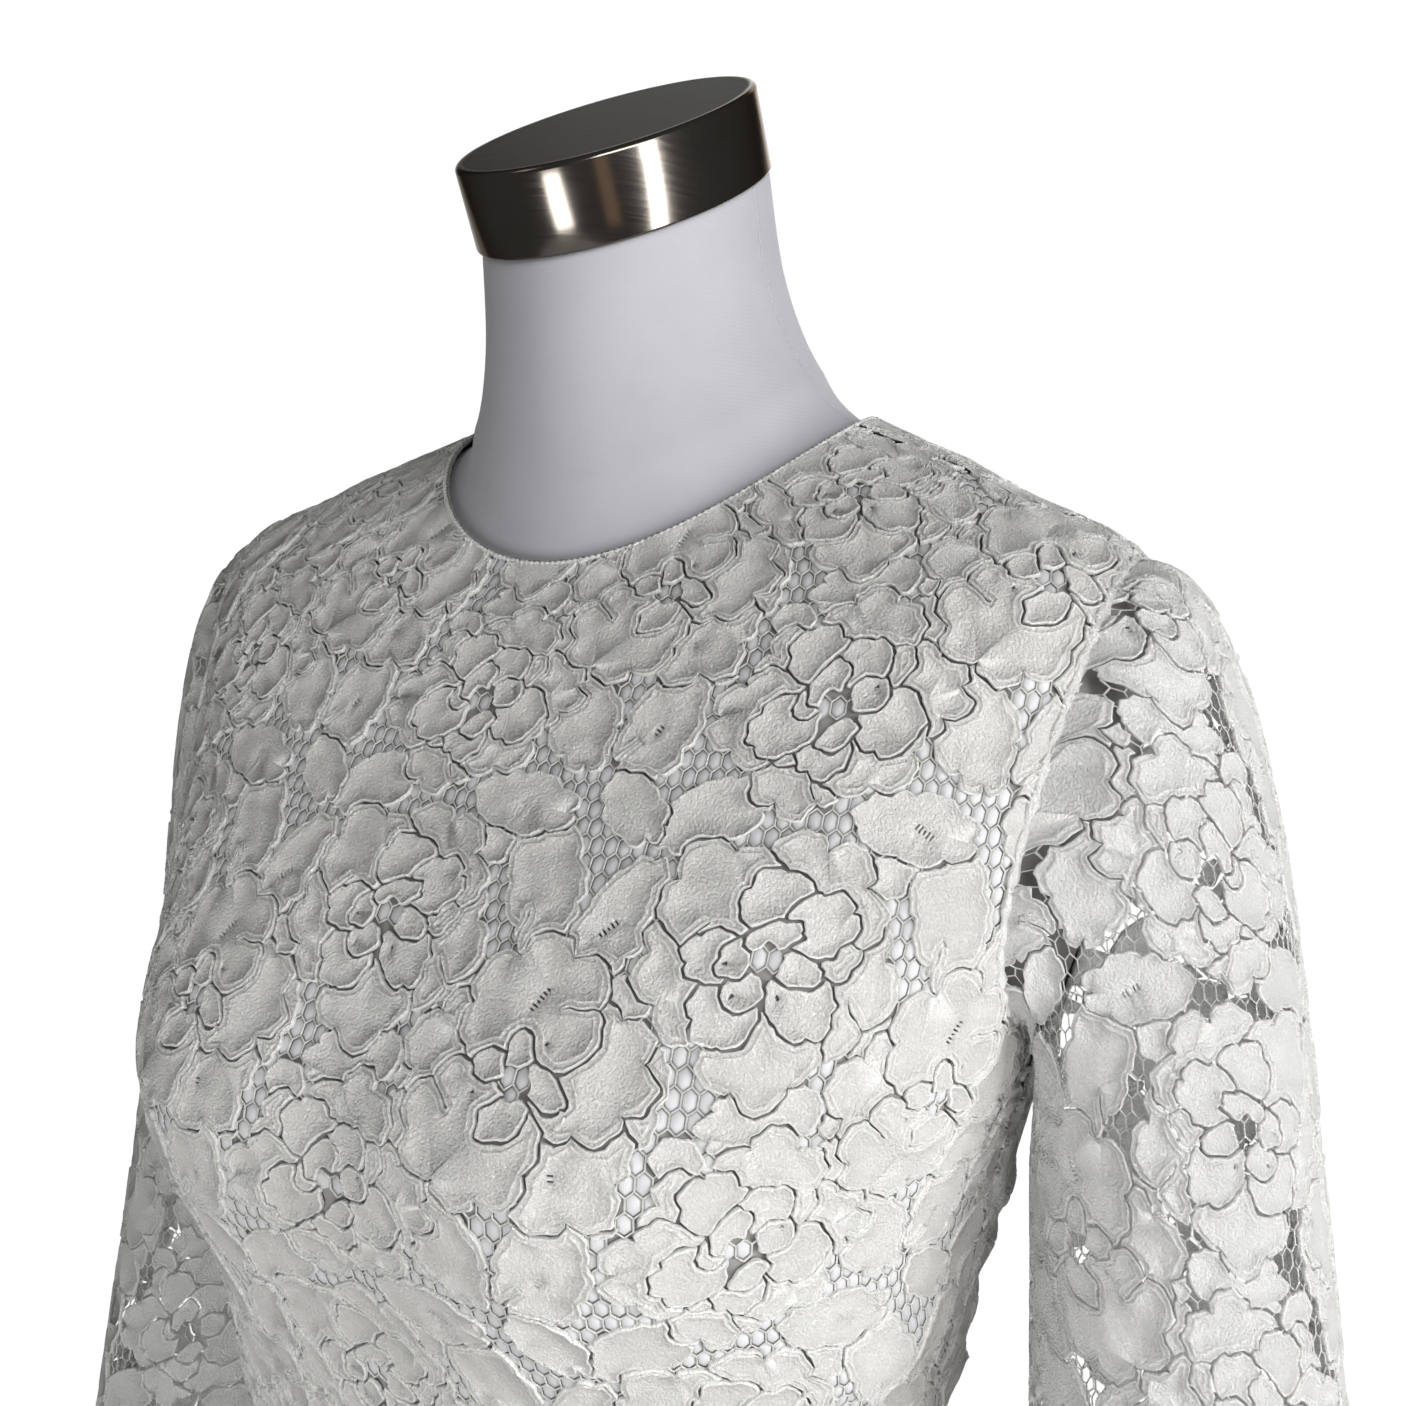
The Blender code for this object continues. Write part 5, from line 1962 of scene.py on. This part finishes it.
@dataclass
class LaceLayer:
    """Lays the lace repeat on one panel."""

    design: LaceDesign
    panel: Union[CutPanel, Sleeve]
    view: Viewpoint
    origin: Pair
    longest_edge: float = 0.02
    reach: float = 8.0
    motif_margin: float = 1.4
    thread_turns: tuple[float, ...] = (-30.0, 90.0, 210.0)
    puff_scales: tuple[float, ...] = (0.97, 0.72, 0.0)
    puff_heights: tuple[float, ...] = (-1.6, -0.85, -0.50)
    # Share of the plain lining colour on each puff ring, from the rim in; the rest is painted shade.
    puff_unshaded: tuple[float, ...] = (0.0, 0.7, 1.0)

    def _flipped(self) -> bool:
        """Whether flat triangles turn over when they are placed."""
        return not (isinstance(self.panel, Sleeve) and self.panel.mirror > 0.0)

    def _offsets(self) -> Array:
        """Starts of every repeat that can reach the panel.

        Returns:
            A flat place for each repeat.
        """
        low, high = self.panel.extent()
        size = np.array([self.design.repeat_across, self.design.repeat_down])
        first = np.floor((low - self.origin) / size).astype(int) - 1
        last = np.ceil((high - self.origin) / size).astype(int) + 1
        steps = np.array([(i, j) for i in range(first[0], last[0]) for j in range(first[1], last[1])])
        return steps * size + self.origin

    def _laid(self, flat: Patch) -> Patch:
        """Carry a flat patch onto the garment, cut at the panel's edges.

        Args:
            flat: patch in millimetres, with heights.

        Returns:
            The patch in metres.
        """
        place = self.panel.locate(flat.points[:, :2])
        laid = Patch(np.column_stack([place, flat.points[:, 2]]), flat.triangles, flat.cord)
        laid = laid.kept_where(self.panel.signed(place))
        points = self.panel.surface(laid.points[:, :2], laid.points[:, 2] * MM)
        edges = np.linalg.norm(points[laid.triangles] - points[np.roll(laid.triangles, 1, axis=1)], axis=-1)
        triangles = laid.triangles[edges.max(axis=1) < self.longest_edge]
        if self._flipped():
            triangles = triangles[:, ::-1]
        return Patch(points, triangles, laid.cord)

    def petals(self, templates: Templates) -> Patch:
        """Every petal on the panel.

        Args:
            templates: the repeat's motifs at each detail, in the same order.

        Returns:
            The placed petals.
        """
        low, high = self.panel.extent()
        offsets = self._offsets()
        found = []
        for index, motif in enumerate(templates[Detail.CLOSE]):
            centres = offsets + motif.centre
            near = ((centres > low - motif.reach) & (centres < high + motif.reach)).all(axis=1)
            place = self.panel.locate(centres[near])
            reached = self.panel.signed(place) > -self.motif_margin * motif.reach
            chosen = self._details(place)
            for offset, wanted, detail in zip(offsets[near], reached, chosen):
                if wanted:
                    patch = templates[detail][index].patch
                    shift = np.array([offset[0], offset[1], 0.0])
                    found.append(Patch(patch.points + shift, patch.triangles, patch.cord))
        return self._laid(Patch.joined(found))

    def _normals(self, place: Array) -> Array:
        """Outward directions at grid places."""
        flat = np.zeros(len(place))
        return unit(self.panel.surface(place, flat + 0.001) - self.panel.surface(place, flat))

    def _details(self, place: Array) -> list[Detail]:
        """Fineness at grid places."""
        return self.view.details(self.panel.surface(place, np.zeros(len(place))), self._normals(place))

    def net(self, sides: int, bright: float) -> Patch:
        """Threads of the net between the petals.

        Args:
            sides: 3 for whole threads, 2 where only their outer faces show.
            bright: how much of the cords' tone they have; lower on the body as painted shade, higher on the
                sleeves as painted light.

        Returns:
            The placed threads.
        """
        threads = self.design.threads()
        ends = (self._offsets()[:, None, None, :] + threads[None]).reshape(-1, 2, 2)
        ends = ends[self._in_reach(ends.mean(axis=1))]
        along = unit(ends[:, 1] - ends[:, 0])
        side = np.stack([-along[:, 1], along[:, 0]], -1)
        turns = np.radians(self.thread_turns)
        radius = self.design.thread_radius
        ring = side[:, None, None, :] * np.cos(turns)[None, None, :, None] * radius
        flat = ends[:, :, None, :] + ring
        height = np.broadcast_to(self.design.net_height + radius * np.sin(turns), flat.shape[:3])
        points = np.concatenate([flat, height[..., None]], -1).reshape(-1, 3)
        start = np.arange(len(ends))[:, None, None] * 6
        faces = [(k, (k + 1) % 3, (k + 1) % 3 + 3) for k in range(sides)]
        faces += [(k, (k + 1) % 3 + 3, k + 3) for k in range(sides)]
        triangles = (start + np.array(faces)[None]).reshape(-1, 3)[:, ::-1]
        return self._laid(Patch(points, triangles, np.full(len(points), bright)))

    def puffs(self) -> Patch:
        """Lining that bulges in the cells of the net, with painted shade round each puff's rim.

        Returns:
            The placed puffs.
        """
        cells = (self._offsets()[:, None] + self.design.cells()[None]).reshape(-1, 2)
        cells = cells[self._in_reach(cells)]
        place = self.panel.locate(cells)
        cells = cells[np.array([detail is not Detail.FAR for detail in self._details(place)])]
        corners = self.design.cell_corners()
        count = len(corners)
        top = 2 * count
        rings = np.concatenate([corners * scale for scale in self.puff_scales])[:top + 1]
        heights = np.repeat(self.puff_heights, count)[:top + 1]
        flat = cells[:, None] + rings[None]
        raised = np.broadcast_to(heights, flat.shape[:2])[..., None]
        points = np.concatenate([flat, raised], -1).reshape(-1, 3)
        faces = []
        for k in range(count):
            n = (k + 1) % count
            faces += [(k, n, n + count), (k, n + count, k + count), (k + count, n + count, top)]
        start = np.arange(len(cells))[:, None, None] * (top + 1)
        triangles = (start + np.array(faces)[None]).reshape(-1, 3)
        # Painted shade: the rim ring of each puff takes the lining's dark painted shade colour.
        cord = np.tile(np.repeat(self.puff_unshaded, count)[:top + 1], len(cells))
        return self._laid(Patch(points, triangles, cord))

    def _in_reach(self, flat: Array) -> Array:
        """Whether flat points are on the panel or close to it.

        Args:
            flat: places on the flat cut.

        Returns:
            A yes or no for each.
        """
        low, high = self.panel.extent()
        near = ((flat > low - self.reach) & (flat < high + self.reach)).all(axis=1)
        near[near] = self.panel.signed(self.panel.locate(flat[near])) > -self.reach
        return near


# The pieces


@dataclass
class Dress:
    """The dress: lace body, lining and sleeves."""

    torso: Torso
    design: LaceDesign
    view: Viewpoint
    shop: Workshop
    lace: Material
    # Lace of the sleeves: the body's lace painted lighter, as painted light for the light that passes through
    # the unlined sleeves.
    sleeve_lace_painted_light: Material
    lining: Material
    lining_depth: float = 0.0015
    lining_hem: float = 0.18
    waist_height: float = 1.10
    sleeve_hem_run: float = 1.998
    seam_radius: float = 0.0019
    edge_radius: float = 0.0006
    neck_edge_depth: float = 0.0012
    neck_edge_rise: float = 0.0008
    pucker: float = 0.30
    puckers: float = 47.0
    # The lining sheet's share of the plain lining colour where the lace is drawn coarsely; elsewhere the
    # sheet is all painted shade.
    far_lining_unshaded: float = 0.55
    # Cord share of the net threads: one thread, painted darker on the body as painted shade and lighter on
    # the sleeves as painted light.
    body_net_shade_tone: float = 0.38
    sleeve_net_light_tone: float = 0.8
    origins: tuple[tuple[Cut, Pair], ...] = (
        (Cut.FRONT, (-30.0, -20.0)), (Cut.BACK_LEFT, (14.0, 40.0)), (Cut.BACK_RIGHT, (-50.0, 70.0)),
    )

    def build(self) -> None:
        """Make every cloth piece."""
        templates = {detail: self.design.motifs(detail) for detail in Detail}
        for detail in Detail:
            LOG.info("%s repeat: %d triangles", detail.name,
                     sum(len(motif.patch.triangles) for motif in templates[detail]))
        for cut, origin in self.origins:
            self._body_panel(cut, origin, templates)
        self._sleeve("sleeve_left", 1.0, (10.0, -64.0), templates)
        self._sleeve("sleeve_right", -1.0, (-36.0, 30.0), templates)

    def _body_panel(self, cut: Cut, origin: Pair, templates: Templates) -> None:
        """Lace, net and lining of one body panel.

        Args:
            cut: which panel it is.
            origin: start of the lace's repeat.
            templates: motifs at each detail.
        """
        panel = CutPanel(self.torso, cut)
        layer = LaceLayer(self.design, panel, self.view, origin)
        name = "lace_" + cut.value
        width, height = flat_size(panel)
        net = self.shop.piece(name + "_net", layer.net(2, self.body_net_shade_tone), self.lace, "lace")
        petals = Patch.joined([layer.petals(templates), *self._edges(panel)])
        if cut is Cut.FRONT:
            petals, lower = petals.split_at(self.waist_height)
            skirt = self.shop.piece(name + "_skirt", lower, self.lace, "lace")
            area, length = panel.area_below(self.waist_height)
            height -= length
        else:
            area = 0.0
        piece = self.shop.piece(name, petals, self.lace, "lace", (name,))
        panel.area() - area
        self._lining(cut, layer.puffs())

    def _lining(self, cut: Cut, puffs: Patch) -> None:
        """Smooth lining with its puffs in the net.

        Args:
            cut: which panel it is.
            puffs: its placed puffs.
        """
        panel = CutPanel(self.torso, cut, self.lining_hem)
        angle, level = panel.angle, panel.level
        normals = self.torso.normal(angle, level)
        points = self.torso.point(angle, level) - normals * self.lining_depth
        points, normals = points.reshape(-1, 3), normals.reshape(-1, 3)
        details = self.view.details(points, normals)
        # Painted shade: near the camera the lining sheet, seen only in the grooves between petals, takes the
        # dark shade colour; far off it gets a lighter mix.
        plain = np.array([self.far_lining_unshaded if detail is Detail.FAR else 0.0 for detail in details])
        sheet = Patch(points, grid_triangles(*angle.shape), plain)
        name = "lining_" + cut.value
        whole = Patch.joined([sheet, puffs, self._neck_edge(panel)])
        piece = self.shop.piece(name, whole, self.lining, "lining", (name,))
        flat_size(panel)
        panel.area()

    def _neck_edge(self, panel: CutPanel) -> Patch:
        """Turned upper edge of the lining, in the lining's dark painted shade colour, so that it shows as a
        dark, uneven line.

        Args:
            panel: panel that it ends.

        Returns:
            The edge.
        """
        steps = 260
        angle = np.linspace(panel.angle[-1, 0], panel.angle[-1, -1], steps)
        level = np.full(steps, panel.level[-1, 0])
        normal = self.torso.normal(angle, level)
        upward = unit(self.torso.point(angle, level) - self.torso.point(angle, level - 0.05))
        path = self.torso.point(angle, level) - normal * self.neck_edge_depth
        path = path + upward * self.neck_edge_rise
        count = np.arange(steps)
        teeth = self.edge_radius * (1.1 + 0.5 * np.sin(count * 1.1) * np.sin(count * 0.37))
        # Painted shade: the whole edge takes the lining's dark painted shade colour.
        return tube(path, normal, teeth, 5).toned(0.0)

    def _edges(self, panel: CutPanel) -> list[Patch]:
        """Cord along the hem and small teeth along the neckline.

        Args:
            panel: panel that they end.

        Returns:
            Hem cord and neck teeth.
        """
        made = []
        for row, radius in ((0, self.edge_radius), (-1, self.edge_radius * 1.2)):
            steps = 400 if row else 160
            angle = np.linspace(panel.angle[row, 0], panel.angle[row, -1], steps)
            level = np.full(steps, panel.level[row, 0])
            normal = self.torso.normal(angle, level)
            path = self.torso.point(angle, level) - normal * 0.0004
            bead = radius * (1.0 + 0.35 * np.sin(np.arange(steps) * 1.9)) if row else radius
            made.append(tube(path, normal, bead, 5))
        return made

    def _sleeve(self, name: str, mirror: float, origin: Pair, templates: Templates) -> None:
        """Lace, net and armhole seam of one sleeve.

        Args:
            name: name of the piece.
            mirror: 1 on the wearer's left, -1 on the right.
            origin: start of the lace's repeat.
            templates: motifs at each detail.
        """
        panel = Sleeve(self.torso, mirror)
        if mirror < 0.0:
            templates = templates | {Detail.CLOSE: templates[Detail.MIDDLE]}
        layer = LaceLayer(self.design, panel, self.view, origin)
        net = self.shop.piece(name + "_net", layer.net(3, self.sleeve_net_light_tone), self.sleeve_lace_painted_light, "lace")
        petals = Patch.joined([layer.petals(templates), self._armhole(mirror), self._hem(panel)])
        piece = self.shop.piece(name, petals, self.sleeve_lace_painted_light, "lace", (name + "_front", name + "_back"))
        flat_size(panel)
        panel.area()

    def _armhole(self, mirror: float) -> Patch:
        """Ridge where the sleeve is sewn in, with small puckers.

        Args:
            mirror: 1 on the wearer's left, -1 on the right.

        Returns:
            The ridge.
        """
        turn = np.linspace(-pi, pi, 241)[:-1]
        side = (mirror, 1.0, 1.0)
        normal = self.torso.normal(*self.torso.armhole_place(turn)) * side
        pucker = 1.0 + self.pucker * np.sin(turn * self.puckers + 2.0 * np.sin(3.0 * turn))
        made = tube(self.torso.armhole(turn) * side, normal, self.seam_radius * pucker, 8, True, 0.50)
        return made.toned(0.5)

    def _hem(self, panel: Sleeve) -> Patch:
        """Cord round the sleeve's hem.

        Args:
            panel: the sleeve.

        Returns:
            The cord.
        """
        turn = np.linspace(-pi, pi, 121)[:-1]
        run = np.full(len(turn), self.sleeve_hem_run)
        normal = panel.normal(turn, run)
        return tube(panel.point(turn, run) - normal * 0.0005, normal, self.edge_radius, 5, True)


@dataclass
class DressForm:
    """Jersey-covered torso with its metal neck cap."""

    torso: Torso
    shop: Workshop
    columns: int = 128
    body_rows: int = 60
    neck_rows: int = 31
    cap_height: float = 0.0277
    cap_edge: float = 0.0016
    cap_overhang: float = 0.0016
    cap_taper: float = 0.995
    seam: float = 0.0003
    seam_angle: float = 96.0
    stitches: tuple[Pair, ...] = ((0.0, 0.0005), (0.030, 0.00022), (-0.030, 0.00022))

    def build(self, jersey: Material, metal: Material) -> None:
        """Make the torso and the cap.

        Args:
            jersey: the torso's finish.
            metal: the cap's finish.
        """
        body = self.shop.piece("form_body_cover", self._torso(), jersey, "jersey", ("form_body",))
        self.shop.piece("neck_cap_shell", self._cap(), metal, "cap_metal", ("neck_cap",))

    def _closed(self, rings: Array) -> Patch:
        """Closed body through rings, lowest first.

        Args:
            rings: points, a row for each ring.

        Returns:
            The body as a patch.
        """
        rows, columns = rings.shape[:2]
        fan = np.arange(1, columns - 1)
        low = np.column_stack([0 * fan, fan + 1, fan])
        top = (rows - 1) * columns + np.column_stack([0 * fan, fan, fan + 1])
        triangles = np.concatenate([grid_triangles(rows, columns, True), low, top])
        return Patch(rings.reshape(-1, 3), triangles, np.zeros(rows * columns))

    def _torso(self) -> Patch:
        """Torso and neck, with the cover's stitched side seams.

        Returns:
            The torso as a patch.
        """
        torso = self.torso
        low_levels = np.linspace(torso.form_bottom, torso.neckline, self.body_rows)
        neck_levels = np.linspace(torso.neckline, torso.neck_top, self.neck_rows)
        levels = np.concatenate([low_levels, neck_levels[1:]])
        angles = np.linspace(0.0, 2.0 * pi, self.columns, endpoint=False)
        angle, level = np.meshgrid(angles, levels)
        depth = torso.form_depth(level)[..., None]
        points = torso.point(angle, level, False) - depth * torso.normal(angle, level, False)
        points[0, :, 2] = float(torso.ring(np.array(torso.form_bottom))[1])
        points[-1] = self._flat_ring(angles, 0.0, 1.0)
        return Patch.joined([self._closed(points)] + self._stitches())

    def _stitches(self) -> list[Patch]:
        """Ridge and stitches of the seam down each side of the neck.

        Returns:
            A ridge and two rows of stitches for each side.
        """
        torso, made = self.torso, []
        for side in (-1.0, 1.0):
            levels = np.linspace(torso.neckline - 0.3, torso.neck_top - 0.02, 90)
            for shift, radius in self.stitches:
                angle = np.full(len(levels), side * radians(self.seam_angle)) + side * shift
                depth = torso.form_depth(levels)[:, None]
                normal = torso.normal(angle, levels, False)
                path = torso.point(angle, levels, False) - normal * depth
                wave = np.abs(np.sin(np.arange(len(levels)) * pi / 2.0)) if shift else np.ones(len(levels))
                made.append(tube(path, normal, radius * (0.25 + 0.75 * wave), 6, False, 0.7).toned(0.0))
        return made

    def _flat_ring(self, angles: Array, rise: float, scale: float) -> Array:
        """Ring of the neck's top, lifted along its own axis.

        Args:
            angles: radians from the front.
            rise: metres above the neck's top.
            scale: share of the neck's size.

        Returns:
            Points of the ring.
        """
        station = self.torso.stations[-1]
        tilt = radians(station.tilt)
        axis = np.array([0.0, -sin(tilt), cos(tilt)])
        forward = np.array([0.0, -cos(tilt), -sin(tilt)])
        centre = np.array([0.0, station.centre_y, station.height]) + axis * rise
        side = np.outer(np.sin(angles) * station.half_width * scale, (1.0, 0.0, 0.0))
        return centre + side + np.outer(np.cos(angles) * station.front * scale, forward)

    def _cap(self) -> Patch:
        """Cap with a rounded upper edge and a flat top.

        Returns:
            The cap as a patch.
        """
        width = self.torso.stations[-1].half_width
        angles = np.linspace(0.0, 2.0 * pi, self.columns, endpoint=False)
        grown, trim = 1.0 + self.cap_overhang / width, self.cap_edge / width
        top, narrowed = self.cap_height, grown * self.cap_taper
        profile = [(self.seam, grown - trim / 2.0), (self.seam + 0.0003, grown - trim / 8.0),
                   (self.seam + 0.0008, grown), (top - self.cap_edge, narrowed)]
        for turn in np.radians([22.0, 45.0, 68.0, 90.0]):
            profile.append((top - self.cap_edge * (1.0 - sin(turn)), narrowed - trim * (1.0 - cos(turn))))
        profile += [(top, (narrowed - trim) * share) for share in (0.97, 0.7, 0.35, 0.05)]
        made = self._closed(np.array([self._flat_ring(angles, *step) for step in profile]))
        # Painted shade: the flat top's rings are marked for the metal's near-black, matt top colour.
        made.cord[-4 * self.columns:] = 1.0
        return made


NECK_AXIS = (0.0, -0.506, 0.863)


@dataclass(frozen=True)
class Lamp:
    """A soft panel of light: sizes in metres, power in watts."""

    name: str
    azimuth: float
    elevation: float
    distance: float
    width: float
    height: float
    power: float
    aim: tuple[float, float, float] = (0.03, 0.0, 1.28)
    upright: tuple[float, float, float] = (0.0, 0.0, 1.0)
    colour: Colour = (1.0, 1.0, 1.0)


@dataclass
class Studio:
    """Camera, soft light and floor."""

    view: Viewpoint
    backdrop: float = 1.02
    room: float = 0.10
    floor_radius: float = 0.95
    lamps: tuple[Lamp, ...] = (
        Lamp("lamp_fill", 58.0, 19.0, 1.9, 1.4, 0.8, 21.5),
        Lamp("lamp_near_low", 89.0, -12.0, 1.2, 0.19, 1.1, 12.0, (0.0, -0.04, 1.48), NECK_AXIS),
        Lamp("lamp_upper_left", -30.0, 42.0, 1.6, 0.3, 0.3, 0.6, colour=(1.0, 0.93, 0.82)),
        Lamp("lamp_front_low", 12.0, -41.0, 0.9, 0.24, 0.45, 3.2, (-0.01, -0.05, 1.485), NECK_AXIS),
        Lamp("lamp_warm", 58.0, -29.0, 0.9, 0.16, 0.6, 0.12, (0.02, -0.05, 1.485), NECK_AXIS,
             (1.0, 0.62, 0.40)),
        Lamp("lamp_behind", 205.0, 32.0, 2.2, 1.4, 1.4, 18.0),
    )

    def build(self, floor: Material) -> None:
        """Set the scene round the object.

        Args:
            floor: the floor's finish.
        """
        self._camera()
        self._world()
        self._floor(floor)
        for lamp in self.lamps:
            self._light(lamp)
        scene = bpy.context.scene
        scene.view_settings.view_transform = "Standard"
        scene.view_settings.exposure = 0.0

    def _camera(self) -> None:
        """Camera at the photo's angle."""
        data = bpy.data.cameras.new("camera")
        data.lens = self.view.lens
        data.sensor_width = 36.0
        data.clip_start = 0.01
        camera = bpy.data.objects.new("camera", data)
        camera.matrix_world = self.view.matrix()
        bpy.context.scene.collection.objects.link(camera)
        bpy.context.scene.camera = camera

    def _world(self) -> None:
        """White backdrop behind the dress, in a dimmer room."""
        paint = Paint("world_nodes", bpy.data.worlds.new("world"))
        ahead = paint.node("ShaderNodeTexCoord", {}, {}, "Generated")
        facing = paint.node("ShaderNodeVectorMath", {"operation": "DOT_PRODUCT"},
                            {0: ahead, 1: tuple(-self.view.back())}, "Value")
        mask = facing.between(0.79, 0.835)
        background = paint.tree.nodes["Background"]
        background.inputs["Color"].default_value = (1.0, 1.0, 1.0, 1.0)
        paint.connect(background.inputs["Strength"], mask * (self.backdrop - self.room) + self.room)
        bpy.context.scene.world = paint.owner

    def _light(self, lamp: Lamp) -> None:
        """One soft panel, turned to its aim.

        Args:
            lamp: its place, size and power.
        """
        data = bpy.data.lights.new(lamp.name, "AREA")
        data.shape, data.size, data.size_y, data.energy = "RECTANGLE", lamp.width, lamp.height, lamp.power
        data.color = lamp.colour
        azimuth, elevation = radians(lamp.azimuth), radians(lamp.elevation)
        back = Vector((sin(azimuth) * cos(elevation), -cos(azimuth) * cos(elevation), sin(elevation)))
        light = bpy.data.objects.new(lamp.name, data)
        light.location = Vector(lamp.aim) + back * lamp.distance
        side = Vector(lamp.upright).cross(back).normalized()
        axes = Matrix((side, back.cross(side), back)).transposed()
        light.rotation_euler = axes.to_euler()
        bpy.context.scene.collection.objects.link(light)

    def _floor(self, material: Material) -> None:
        """Round pale floor.

        Args:
            material: the floor's finish.
        """
        turn = np.linspace(0.0, 2.0 * pi, 96, endpoint=False)
        ring = np.column_stack([np.cos(turn), np.sin(turn), 0.0 * turn]) * self.floor_radius
        mesh = bpy.data.meshes.new("floor")
        mesh.from_pydata([(x, y, -0.0004) for x, y, _ in ring], [], [list(range(len(ring)))])
        mesh.materials.append(material)
        floor = bpy.data.objects.new("floor", mesh)
        bpy.context.scene.collection.objects.link(floor)


def dress_cad_node(name: str, material: Material) -> None:
    """Give a CAD node that stays visible its finish.

    Args:
        name: the node.
        material: its finish.
    """
    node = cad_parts[name]
    node.data.materials.clear()
    node.data.materials.append(material)
    LOG.info("%s: finish of its CAD node", name)


def main() -> None:
    """Build the looks of every piece in order."""
    logging.basicConfig(level=logging.INFO, format="%(message)s")
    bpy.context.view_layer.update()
    torso, design, view, shop = Torso(), LaceDesign(), Viewpoint(), Workshop()
    lace, lining = LaceFinish().material(), LiningFinish().material()
    steel = MetalFinish("stand_steel", (0.62, 0.62, 0.63), (0.42, 0.42, 0.43), 0.32, (900.0, 900.0, 30.0))
    cap = MetalFinish("cap_metal", (0.22, 0.20, 0.18), (0.13, 0.105, 0.085), 0.16, (40.0, 40.0, 1500.0))
    zip_metal = MetalFinish("zip_metal", (0.66, 0.64, 0.60), (0.45, 0.43, 0.40), 0.30, (500.0, 500.0, 500.0))
    steel_paint, zip_paint = steel.material(), zip_metal.material()
    # Painted light: the sleeves' lace takes lighter colours than the body's lace, for the light that comes
    # through the unlined sleeves.
    sleeve_lace_painted_light = LaceFinish("sleeve_lace_painted_light", (0.84, 0.838, 0.828), (0.62, 0.612, 0.595), thinness=0.10)
    Dress(torso, design, view, shop, lace, sleeve_lace_painted_light.material(), lining).build()
    DressForm(torso, shop).build(JerseyFinish().material(), cap.material())
    for name in ("stand_pole", "stand_base"):
        dress_cad_node(name, steel_paint)
    for name in ("zip_slider", "zip_pull_tab"):
        dress_cad_node(name, zip_paint)
    Studio(view).build(FloorFinish().material())


if __name__ == "__main__":
    main()
